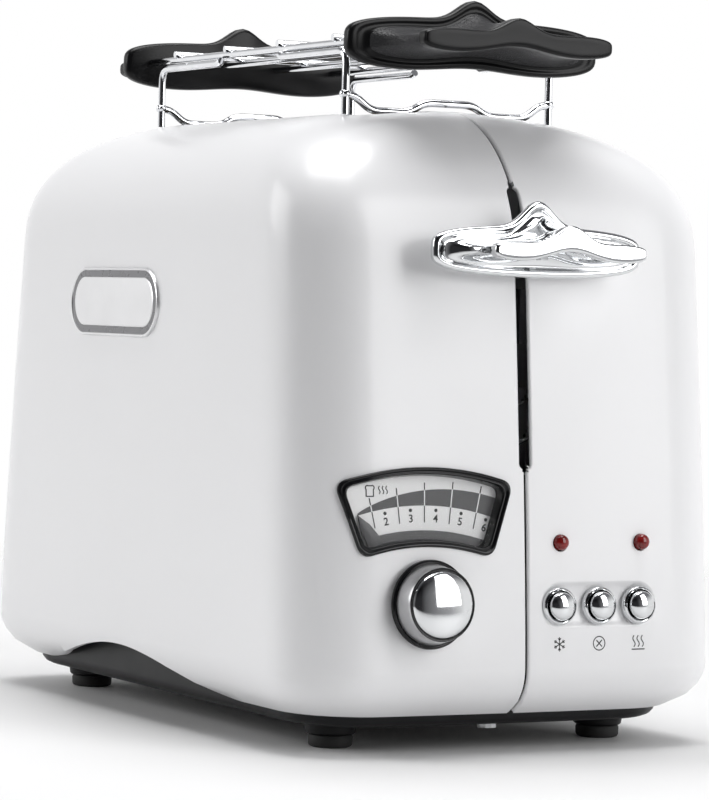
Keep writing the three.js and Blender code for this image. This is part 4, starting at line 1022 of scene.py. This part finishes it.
stroke(dark_marks, bread_slice(-54.6, 20.9, 3.4), 0.36, CARD_DEPTH, closed=True)
for k in range(3):
    lift = [(-51.2 + k * 1.3 + 0.28 * math.sin(t * math.pi), 20.0 + 1.2 * t) for t in
            (i / 4 for i in range(9))]
    stroke(dark_marks, lift, 0.32, CARD_DEPTH)
make_piece("scale_marks", dark_marks, print_black, "housing", "dial_print", placed=PANEL)
make_piece("scale_white_ticks", white_marks, print_white, "housing", "dial_print", placed=PANEL)

# %% the band under the scale and the pointer
band = bmesh.new()
band_sweep = [-17.2 + 35 * k / 30 for k in range(31)]
prism(band, [about_hub(74.2, a) for a in band_sweep]
      + [about_hub(78.5, a) for a in reversed(band_sweep)], "Y", 3.6, 3.44)
face_outward(band)
make_piece("scale_band", band, sector_grey, "housing", "black_plastic", placed=PANEL)

NEEDLE_PIVOT = (GAUGE_X, panel_height(24))


def about_pivot(radius, degrees):
    angle = math.radians(degrees)
    return (NEEDLE_PIVOT[0] + radius * math.sin(angle), NEEDLE_PIVOT[1] + radius * math.cos(angle))


pointer = bmesh.new()
pointer_outline = [about_pivot(44, -25.4), about_pivot(44, -18.6), about_pivot(48.5, -19.0)]
pointer_outline += [about_pivot(53.2, -21.2), about_pivot(57.3, -24.0), about_pivot(53.2, -25.2)]
pointer_outline += [about_pivot(48.5, -25.0)]
prism(pointer, list(reversed(pointer_outline)), "Y", 2.96, 2.55)
face_outward(pointer)
bmesh.ops.bevel(pointer, geom=[e for e in pointer.edges if e.calc_face_angle(0) > 1],
                affect="EDGES", offset=0.1, segments=2, profile=0.5, material=-1)
make_piece("gauge_pointer", pointer, sector_grey, "needle", "black_plastic", placed=PANEL)
nodes["gauge_needle"].data.materials[0] = sector_grey
print("pointer and band")

# %% [markdown]
# ## Turned knob, buttons and lamps
# The knob is three turned parts: a dark glossy flange, a satin collar that tapers, and a domed
# chrome cap in a thin black ring. A spin of a half profile is the lathe's own way to make them. The
# buttons are chrome caps in chrome rings, and the lamps are small red domes.

# %% knob
KNOB_AT = PANEL @ Matrix.Translation((GAUGE_X, 0, panel_height(KNOB_Z)))
turned("knob_flange", [(0, 0.7), (13.2, 0.7), (13.9, 1.0), (14.1, 1.6), (13.9, 2.2), (13.4, 2.5),
                       (13.0, 2.4), (12.9, 2.1), (0, 2.1)],
       72, gloss_moulding, "knob", "black_plastic", ["knob_skirt"], placed=KNOB_AT)
turned("knob_collar", [(0, 2.0), (12.5, 2.0), (12.75, 2.3), (12.7, 2.7), (12.2, 5.2), (11.8, 7.6),
                       (11.65, 8.6), (11.45, 8.95), (11.2, 9.0), (10.95, 8.8), (10.9, 8.4),
                       (0, 8.4)],
       72, satin_metal, "knob", "chrome_plate", placed=KNOB_AT)
turned("knob_ring", [(0, 8.3), (11.5, 8.3), (11.5, 9.05), (11.3, 9.2), (11.0, 9.15), (10.85, 8.9),
                     (0, 8.9)],
       72, gloss_moulding, "knob", "black_plastic", placed=KNOB_AT)
dome = [(0, 8.2), (10.75, 8.2), (10.8, 8.7), (10.7, 9.1), (10.4, 9.45)]
dome += [(10.4 * math.cos(a), 9.45 + 2.1 * math.sin(a))
         for a in (math.radians(d) for d in (8, 16, 25, 35, 46, 58, 70, 80))]
turned("knob_dome", dome + [(0, 11.55)], 72, chrome, "knob", "chrome_plate", ["knob_cap"],
       placed=KNOB_AT)
nodes["knob_shaft"].data.materials[0] = bright_steel

# %% buttons and lamps
BUTTON_HEIGHT, LAMP_HEIGHT = panel_height(47), panel_height(67.3)
ring = [(4.75, -1.6), (5.2, -1.6), (5.3, -1.35), (6.1, -1.3), (6.25, -1.0), (6.2, 0.1),
        (6.0, 0.7), (5.7, 1.1), (5.4, 1.25), (5.1, 1.1), (4.9, 0.6), (4.75, -0.4), (4.75, -1.6)]
cap = [(0, -14), (1.4, -14), (1.4, -3), (4.5, -3), (4.55, 1.4), (4.5, 2.0), (4.3, 2.5),
       (3.9, 2.9), (3.4, 3.2), (2.7, 3.5), (1.8, 3.75), (0.9, 3.9), (0, 3.95)]
lamp = [(0, -5.5), (2.5, -5.5), (2.5, 0.7), (2.42, 1.1), (2.2, 1.5), (1.85, 1.9), (1.4, 2.2),
        (0.75, 2.4), (0, 2.45)]
for name, place in BUTTON_PLACES.items():
    at = PANEL @ Matrix.Translation((round(place.x, 1), 0, BUTTON_HEIGHT))
    turned(name + "_ring", ring, 56, chrome, "housing", "chrome_plate",
           [name + "_button_ring"], placed=at)
    turned(name + "_cap", cap, 56, chrome, name + "_push", "chrome_plate", [name + "_button"],
           placed=at)
for name, place in LAMP_PLACES.items():
    at = PANEL @ Matrix.Translation((round(place.x, 1), 0, LAMP_HEIGHT))
    turned(name + "_dome", lamp, 40, lamp_glass, "housing", "lamp_red", [name], placed=at)
print("three buttons and two lamps")

# %% [markdown]
# ## Icons under the buttons
# Each button's job is printed under it in dark ink. Icons say it without words: a snowflake for
# frozen bread, a crossed circle to stop, and rising heat to warm it again. They are thin printed
# strokes.

# %% printed icons
INK_DEPTH = 0
ICON_Z = panel_height(34.9)
ICON_RADIUS = 2.2


def put_on_skin(work, at):
    """Moves printed strokes onto the skin, a hair above it."""
    for vertex in work.verts:
        spot = at @ vertex.co
        shift = 0.03 if vertex.co.y < INK_DEPTH - 0.02 else -0.1
        vertex.co = at.inverted() @ drop((spot.x, -FAR, spot.z), (0, 1, 0), shift)


icons = bmesh.new()
snow_x, stop_x, heat_x = (round(p.x, 1) for p in BUTTON_PLACES.values())
for k in range(3):
    turn = math.radians(30 + 60 * k)
    reach = Vector((math.cos(turn), math.sin(turn))) * ICON_RADIUS
    stroke(icons, [(snow_x - reach.x, ICON_Z - reach.y), (snow_x + reach.x, ICON_Z + reach.y)],
           0.34, INK_DEPTH)
    for end in (-1, 1):
        for fork in (-0.6, 0.6):
            root = Vector((snow_x, ICON_Z)) + reach * end * 0.55
            tip = root + (Matrix.Rotation(fork, 2) @ reach) * end * 0.36
            stroke(icons, [tuple(root), tuple(tip)], 0.3, INK_DEPTH)
circle_points = [(stop_x + ICON_RADIUS * math.cos(a), ICON_Z + ICON_RADIUS * math.sin(a))
                 for a in (math.radians(15 * d) for d in range(24))]
stroke(icons, circle_points, 0.34, INK_DEPTH, closed=True)
for lean in (-1, 1):
    stroke(icons, [(stop_x - 1, ICON_Z - lean), (stop_x + 1, ICON_Z + lean)], 0.4, INK_DEPTH)
for k in (-1, 0, 1):
    rise = [(heat_x + 1.6 * k + 0.45 * math.sin(t * math.pi * 2), ICON_Z - 1.4 + 3.6 * t)
            for t in (i / 10 for i in range(11))]
    stroke(icons, rise, 0.36, INK_DEPTH)
stroke(icons, [(heat_x - 2.4, ICON_Z - 2.2), (heat_x + 2.4, ICON_Z - 2.2)], 0.4, INK_DEPTH)
put_on_skin(icons, PANEL)
make_piece("button_icons", icons, print_black, "housing", "black_plastic", placed=PANEL)

# %% [markdown]
# ## The lever and the rack's handles
# All three grips share one shape, a cloud: two round lobes, a hump between them and an arch below.
# The lever is a plated casting, with a raised rim round its flange, a dish inside the rim and a
# neck that flares into the grip. The rack's handles are the same idea as black mouldings. A few
# stations give the outline at each depth, a smooth curve through them gives the steps between, and
# a loft joins them.


# %% cloud outlines and smooth stations
def cloud(half, lobe, hump, arch, waist, hump_width, count=112):
    """One outline of a cloud as (x, z) points, closer together at the hump."""
    points = []
    for k in range(count):
        even = 2 * math.pi * k / count
        angle = even + 0.2 * math.sin(2 * even)
        c, s = math.cos(angle), math.sin(angle)
        x = math.copysign(half * abs(c) ** 0.9, c)
        edge = math.copysign(lobe * abs(s) ** 0.5, s)
        if s > 0:
            crest = (hump + waist) * math.exp(-((x / hump_width) ** 2))
            edge += crest - waist * math.exp(-((x / (half * 0.62)) ** 2))
        else:
            edge += arch * math.exp(-((x / (half * 0.42)) ** 2))
        points.append((x, edge))
    return points


def between(stations, steps):
    """More stations on a smooth curve through the given ones, which are kept."""
    made = []
    last = len(stations) - 1
    for k in range(last):
        around = [stations[max(0, min(last, k + j))] for j in (-1, 0, 1, 2)]
        for i in range(steps):
            t = i / steps
            values = []
            for a, b, c, d in zip(*around):
                slope_b, slope_c = (c - a) / 2, (d - b) / 2
                if (b - a) * (c - b) <= 0:
                    slope_b = 0
                if (c - b) * (d - c) <= 0:
                    slope_c = 0
                t2, t3 = t * t, t ** 3
                values.append(b * (2 * t3 - 3 * t2 + 1) + slope_b * (t3 - 2 * t2 + t)
                              + c * (3 * t2 - 2 * t3) + slope_c * (t3 - t2))
            made.append(values)
    return made + [list(stations[-1])]


def cloud_body(stations, hump_width, at, heading=-1, steps=4):
    """Lofts a cloud through its stations of (depth, half, lobe, hump, arch, waist)."""
    rings = []
    for depth, half, lobe, hump, arch, waist in between(stations, steps):
        flat = cloud(half, lobe, hump, arch, waist, hump_width)
        rings.append([(x, at.y + heading * depth, at.z + z) for x, z in flat])
    work = bmesh.new()
    loft(work, rings)
    first_ring = [e for e in work.edges if e.is_boundary]
    bmesh.ops.contextual_create(work, geom=first_ring)
    return face_outward(work)


print("outline points:", len(cloud(38, 8, 8, 0, 0, 7)))

# %% lever
LEVER_AT = Vector((0, box_mm("lever_handle")[1].y, 159.5))
lever_stations = (
    (0.0, 37.0, 7.0, 8.0, 0.0, 0.0), (0.25, 37.7, 7.7, 8.0, 0.0, 0.0),
    (0.8, 38.15, 8.15, 8.0, 0.0, 0.0), (1.6, 38.2, 8.2, 8.0, 0.0, 0.0),
    (2.5, 38.1, 8.1, 8.0, 0.0, 0.0), (3.1, 37.6, 7.6, 8.0, 0.0, 0.0),
    (3.4, 36.9, 6.95, 7.9, 0.0, 0.0), (3.35, 36.2, 6.3, 7.8, 0.1, 0.0),
    (3.0, 35.7, 5.85, 7.7, 0.2, 0.1), (2.55, 35.3, 5.5, 7.6, 0.3, 0.1),
    (2.35, 34.4, 5.0, 7.4, 0.5, 0.2), (2.9, 31.6, 4.1, 6.9, 1.2, 0.4),
    (4.6, 28.6, 3.3, 6.2, 2.1, 0.6), (7.6, 26.3, 2.85, 5.4, 2.9, 0.8),
    (12.0, 25.2, 2.7, 4.7, 3.4, 1.0), (16.0, 25.5, 2.9, 4.4, 3.7, 1.2),
    (18.4, 26.5, 3.35, 4.4, 3.9, 1.4), (19.6, 27.4, 3.75, 4.4, 4.0, 1.6),
    (20.3, 27.6, 3.85, 4.4, 4.0, 1.6), (22.6, 27.6, 3.85, 4.4, 4.0, 1.6),
    (23.2, 27.35, 3.65, 4.4, 4.0, 1.55), (23.5, 26.95, 3.3, 4.4, 4.0, 1.5),
    (23.6, 26.3, 2.85, 4.3, 3.9, 1.4), (23.62, 22.0, 1.5, 3.6, 3.3, 1.0))
lever = cloud_body(lever_stations, 7.2, LEVER_AT)
make_piece("lever_grip", lever, chrome, "carriage", "chrome_plate", ["lever_handle"],
           angle=math.radians(60))

# %% rack handles
RAIL_Z, RAIL_END = 226.9, 87
RACK_HANDLE_Z = RAIL_Z - 0.6
rack_stations = (
    (0.0, 45.4, 8.4, 5.4, 2.4, 0.6), (0.5, 46.3, 9.1, 5.5, 2.5, 0.7),
    (1.4, 46.9, 9.55, 5.6, 2.6, 0.8), (2.8, 47.0, 9.6, 5.6, 2.6, 0.8),
    (4.0, 46.8, 9.5, 5.6, 2.6, 0.8), (4.8, 46.0, 8.95, 5.5, 2.6, 0.8),
    (4.95, 44.6, 8.1, 5.3, 2.6, 0.8), (4.7, 43.0, 7.3, 5.0, 2.7, 0.8),
    (4.9, 41.0, 6.5, 4.8, 2.8, 0.9), (6.2, 38.4, 5.6, 4.4, 2.9, 1.0),
    (9.0, 35.6, 4.7, 4.0, 3.0, 1.2), (13.0, 33.4, 4.1, 3.5, 3.1, 1.5),
    (19.0, 32.2, 3.8, 3.2, 3.3, 1.8), (25.0, 32.7, 3.95, 3.2, 3.4, 2.0),
    (28.2, 34.2, 4.4, 3.2, 3.5, 2.15), (29.4, 34.9, 4.7, 3.2, 3.5, 2.2),
    (30.4, 35.0, 4.75, 3.2, 3.5, 2.2), (32.4, 35.0, 4.75, 3.2, 3.5, 2.2),
    (33.3, 34.6, 4.45, 3.2, 3.5, 2.15), (33.8, 33.8, 3.8, 3.2, 3.5, 2.0),
    (33.85, 29.0, 1.9, 2.6, 2.9, 1.4))
for name, side in (("rack_handle_front", -1), ("rack_handle_rear", 1)):
    low, high = box_mm(name)
    start = Vector((0, low.y if side > 0 else high.y, RACK_HANDLE_Z))
    handle = cloud_body(rack_stations, 8, start, heading=side)
    make_piece(name + "_moulding", handle, grained_moulding, "rack", "grained_plastic", [name],
               angle=math.radians(60))
print("two rack handles")

# %% [markdown]
# ## The bun rack's wires
# The rack is bent and welded from chromed wire. A curve with a round section is the natural tool:
# its points are the corners on a bending drawing, and each corner is rounded by the bend radius.
# Long rails carry the bread and plug into the handles, and cross bars lie on them. Each leg's arm
# runs under an outer rail and turns up at its end. A small bead of weld holds the cross wires to
# the legs.

# %% rack rails and cross bars
WIRE = 1.3
RAIL_OUTER, RAIL_INNER = 37, 13
rack_wires = bmesh.new()
for x in (-RAIL_OUTER, -RAIL_INNER, RAIL_INNER, RAIL_OUTER):
    wire(rack_wires, [(x, -RAIL_END, RAIL_Z), (x, RAIL_END, RAIL_Z)], WIRE, sides=20)
for y in (-60, -20, 20, 60):
    bar = [(-RAIL_OUTER - 1.6, y, RAIL_Z + 1.9), (RAIL_OUTER + 1.6, y, RAIL_Z + 1.9)]
    wire(rack_wires, bar, WIRE * 0.92, sides=20)
make_piece("rack_rails", rack_wires, wire_chrome, "rack", "chrome_wire", ["rack_top"],
           angle=math.radians(50))

# %% leg frames
RACK_X, LEG_Y, ARM_Z = 38.6, 70, 224
CROSS_Z, DIP_Z, RIDGE_Z = 210, 204.9, 208.4


def leg_frame(name, side):
    work = bmesh.new()
    y = side * LEG_Y
    for hand in (-1, 1):
        x = hand * RACK_X
        foot = drop((x, y, FAR), (0, 0, -1), 0.35)
        tip = [(x, side * 24.2, ARM_Z), (x, side * 22.6, ARM_Z + 0.8)]
        path = [(x, y, foot.z), (x, y, ARM_Z), tip[0], tip[1]]
        wire(work, bend_corners(path, 4.5), WIRE, sides=20)
    inner, outer = SLOT_X - 7, SLOT_X + 7
    right = [(inner - 6, y, RIDGE_Z), (inner, y, DIP_Z), (outer, y, DIP_Z),
             (outer + 6, y, CROSS_Z - 0.6), (RACK_X + 1.5, y, CROSS_Z)]
    left = [(-x, y0, z) for x, y0, z in reversed(right)]
    wire(work, bend_corners(left + right, 3), WIRE, sides=20)
    for hand in (-1, 1):
        weld = bmesh.ops.create_uvsphere(work, u_segments=16, v_segments=10, radius=1)["verts"]
        bmesh.ops.scale(work, verts=weld, vec=(2.1, 1.7, 1.5))
        bmesh.ops.translate(work, verts=weld, vec=(hand * RACK_X, y, CROSS_Z))
    make_piece(name + "_wires", work, wire_chrome, "rack", "chrome_wire", [name],
               angle=math.radians(50))


leg_frame("rack_leg_frame_front", -1)
leg_frame("rack_leg_frame_rear", 1)

# %% [markdown]
# ## The badge
# A pill shaped plate sits on the left side. It has a bright rim, a dark enamel border and a plain
# pale field. Its outline is dropped on the side wall and each step of the relief is one more ring,
# so the plate follows the wall's slight curve. The field stays blank, because a name would be
# someone's mark.

# %% badge
BADGE_LOW, BADGE_HIGH = box_mm("badge_plate")
BADGE_Y, BADGE_Z = (BADGE_LOW.y + BADGE_HIGH.y) / 2, (BADGE_LOW.z + BADGE_HIGH.z) / 2
BADGE_LENGTH, BADGE_HEIGHT = BADGE_HIGH.y - BADGE_LOW.y, BADGE_HIGH.z - BADGE_LOW.z


def badge_ring(inset, above):
    """A pill drawn in by an inset and dropped on the left side, then raised above it."""
    flat = pill(BADGE_Y, BADGE_Z, BADGE_LENGTH - 2 * inset, BADGE_HEIGHT - 2 * inset)
    return [drop((-FAR, y, z), (1, 0, 0), above) for y, z in flat]


def badge_part(name, steps, material, close_top=False):
    work = bmesh.new()
    loft(work, [badge_ring(inset, above) for inset, above in steps], close_top)
    face_outward(work)
    return make_piece(name, work, material, "housing", "badge_metal")


badge_rim = badge_part("badge_rim", ((0, -0.5), (0, 0.55), (0.15, 0.85), (0.45, 1.0), (0.8, 0.95),
                                     (1.0, 0.75), (1.1, 0.6)), badge_plate_metal)
badge_part("badge_border", ((1.05, 0.55), (1.15, 0.68), (3.3, 0.7), (3.4, 0.55)), badge_enamel)
badge_part("badge_field", ((3.3, 0.5), (3.4, 0.78), (3.7, 0.92), (4.1, 0.95)), badge_plate_metal,
           close_top=True)
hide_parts("badge_plate")
print("badge", round(BADGE_LENGTH, 1), "by", round(BADGE_HEIGHT, 1), "mm")

# %% [markdown]
# ## Base, feet and cord gland
# The body stands on a black tray with turned rubber feet. Only its edge shows, under the arches of
# the long sides, so it is lofted from the same rings as the skin, a little smaller. The vents in
# its floor let cool air in under the heaters.

# %% base tray
BASE_INSET = WALL + 0.35


def base_ring(inset, z):
    """The body's lowest ring, drawn in and set at another height."""
    half_x, half_y, _ = ring_size(EDGE_Z)
    scale_x, scale_y = (half_x - inset) / half_x, (half_y - inset) / half_y
    return [(x * scale_x, y * scale_y, z) for x, y, _ in ring_points(EDGE_Z)]


floor_z = 8.3
tray_profile = ((BASE_INSET + 6.5, floor_z + 2.5), (BASE_INSET + 3.4, floor_z + 3.4),
                (BASE_INSET + 2.6, floor_z + 6), (BASE_INSET + 2.5, 25.6), (BASE_INSET + 2.2, 26),
                (BASE_INSET + 0.3, 26), (BASE_INSET, 25.6), (BASE_INSET, 12.6),
                (BASE_INSET + 0.35, 10.6), (BASE_INSET + 1.4, 9.1), (BASE_INSET + 3, floor_z))
tray = bmesh.new()
loft(tray, [base_ring(inset, z) for inset, z in tray_profile])
bmesh.ops.contextual_create(tray, geom=[e for e in tray.edges if e.is_boundary])
tray_object = tool("tray", tray)
vents = bmesh.new()
for k in range(-3, 4):
    prism(vents, rounded_box(0, k * 16, 68, 5, 2.4), "Z", 0, 14)
tray = bmesh.new()
tray.from_mesh(cut_by(tray_object, (tool("vents", vents),)))
FEET = ("foot_front_left", "foot_front_right", "foot_rear_left", "foot_rear_right")
for name in FEET:
    place = middle_mm(name)
    spun(tray, [(0, 4.2), (7.4, 4.2), (8.0, 4.7), (8.2, 6), (8.6, 8.6), (0, 8.6)], 40,
         axis=(0, 0, 1), centre=(place.x, place.y, 0))
make_piece("base_moulding", tray, satin_moulding, "housing", "black_plastic", ["base_tray"])

# %% feet and gland
foot = [(0, 0.5), (4.2, 0.5), (4.8, 0.05), (6.0, 0), (6.8, 0.35), (7.15, 1.0), (7.2, 3.2),
        (6.9, 3.9), (0, 3.95)]
for name in FEET:
    place = middle_mm(name)
    turned(name + "_pad", foot, 48, foot_rubber, "housing", "rubber", [name],
           axis=(0, 0, 1), centre=(place.x, place.y, 0))
gland_face = drop((GLAND.x, FAR, GLAND.z), (0, -1, 0)).y
gland = [(3.8, -6), (5.9, -6), (5.9, -0.6), (8.2, -0.5), (8.5, 0), (8.4, 1.4), (7.6, 2.4),
         (5.4, 3.0), (5.0, 3.1), (4.4, 2.9), (3.9, 2.2), (3.8, 1), (3.8, -6)]
turned("cord_gland_moulding", gland, 48, satin_moulding, "housing", "black_plastic",
       ["cord_gland"], axis=(0, 1, 0), centre=(GLAND.x, gland_face, GLAND.z))
print("tray, feet and gland")

# %% [markdown]
# ## The lift spring
# A long coil on one guide rod pushes the carriage back up. It is a bent wire like the rack's, wound
# from the bottom to the top of the CAD spring's place.

# %% lift spring
SPRING_LOW, SPRING_HIGH = box_mm("lift_spring")
SPRING_WIRE, SPRING_TURNS = 0.55, 8
spring_middle = (SPRING_LOW + SPRING_HIGH) / 2
coil_radius = (SPRING_HIGH.x - SPRING_LOW.x) / 2 - SPRING_WIRE
foot_z, head_z = SPRING_LOW.z + SPRING_WIRE, SPRING_HIGH.z - SPRING_WIRE
coil_points = []
for k in range(SPRING_TURNS * 24 + 1):
    turn = 2 * math.pi * k / 24
    coil_points.append((spring_middle.x + coil_radius * math.cos(turn),
                        spring_middle.y + coil_radius * math.sin(turn),
                        foot_z + (head_z - foot_z) * k / (SPRING_TURNS * 24)))
spring = bmesh.new()
wire(spring, coil_points, SPRING_WIRE, sides=12)
coil = make_piece("lift_coil", spring, bright_steel, None, "steel", ["lift_spring"])
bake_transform(coil)

# %% [markdown]
# ## What shows inside the slots
# Through the slots one sees the heater boards with their flat wound ribbons, the wire guards, the
# bread lifters and the reflectors. The ribbon is the part that glows, so it gets real turns: each
# is one thin strip that leans from its notch on the front edge to the next one on the rear.

# %% heating ribbons
for name in ("heater_left", "heater_middle", "heater_right"):
    low, high = box_mm(name)
    ribbons = bmesh.new()
    x_middle = (low.x + high.x) / 2
    turns = 15
    pitch = (high.z - low.z - 12) / turns
    for face in (-1, 1):
        x = x_middle + face * ((high.x - low.x) / 2 + 0.12)
        for k in range(turns):
            z = low.z + 8 + k * pitch
            ends = [(low.y + 2, z), (high.y - 2, z + face * pitch * 0.45 + pitch * 0.2)]
            strip = [(ends[0][0], ends[0][1] - 0.6), (ends[1][0], ends[1][1] - 0.6),
                     (ends[1][0], ends[1][1] + 0.6), (ends[0][0], ends[0][1] + 0.6)]
            prism(ribbons, strip, "X", x - 0.07, x + 0.07)
    face_outward(ribbons)
    make_piece(name + "_ribbon", ribbons, heating_ribbon, "housing", "mica_board")
    nodes[name].data.materials[0] = mica

# %% finishes for the CAD parts that stay as they are
KEPT = {
    zinc_sheet: ["front_chassis_plate", "rear_chassis_plate", "top_chassis_plate",
                 "reflector_left", "reflector_right", "crumb_tray", "carriage_bracket",
                 "lever_stem", "latch_armature", "base_screw_front", "base_screw_rear"],
    bright_steel: ["bread_lifter_left", "bread_lifter_right", "guide_rod_left",
                   "guide_rod_right", "guard_left_outer", "guard_left_inner",
                   "guard_right_inner", "guard_right_outer"],
    satin_moulding: ["control_frame", "browning_timer", "defrost_switch", "cancel_switch",
                     "reheat_switch"],
    solder_mask: ["control_board"],
    copper_winding: ["holding_magnet"],
}
for material, names in KEPT.items():
    for name in names:
        nodes[name].data.materials.clear()
        nodes[name].data.materials.append(material)
print("finishes given to", sum(len(names) for names in KEPT.values()), "CAD parts")

# %% [markdown]
# ## Floor
# The floor is a plain pale sheet that fades away a step beyond the toaster, so it keeps the shadow
# and melts into the sky without a horizon.

# %% floor
floor_work = bmesh.new()
bmesh.ops.create_grid(floor_work, x_segments=8, y_segments=8, size=2)
floor_mesh = mesh_from("studio_floor", floor_work)
floor = into_scene("studio_floor", floor_mesh)
floor_sheet = finish("studio_floor_sheet", (0.74, 0.74, 0.74), 0.6, vary=0.004, scale=2)
floor_tree = floor_sheet.node_tree
distance = add_math(floor_tree, "VectorMath", "LENGTH")
FADE_START, FADE_END = 0.28, 0.95
fade = add_node(floor_tree, "MapRange", From_Min=FADE_START, From_Max=FADE_END)
fade.interpolation_type = "SMOOTHSTEP"
clear = add_node(floor_tree, "BsdfTransparent")
blend = add_node(floor_tree, "MixShader")
link(floor_tree, (coordinates(floor_tree), distance.inputs[0]),
     (distance.outputs["Value"], fade.inputs["Value"]), (fade.outputs["Result"], blend.inputs["Fac"]),
     (floor_tree.nodes["Principled BSDF"].outputs["BSDF"], blend.inputs[1]),
     (clear.outputs["BSDF"], blend.inputs[2]),
     (blend.outputs["Shader"], floor_tree.nodes["Material Output"].inputs["Surface"]))
floor_mesh.materials.append(floor_sheet)
print("floor laid")
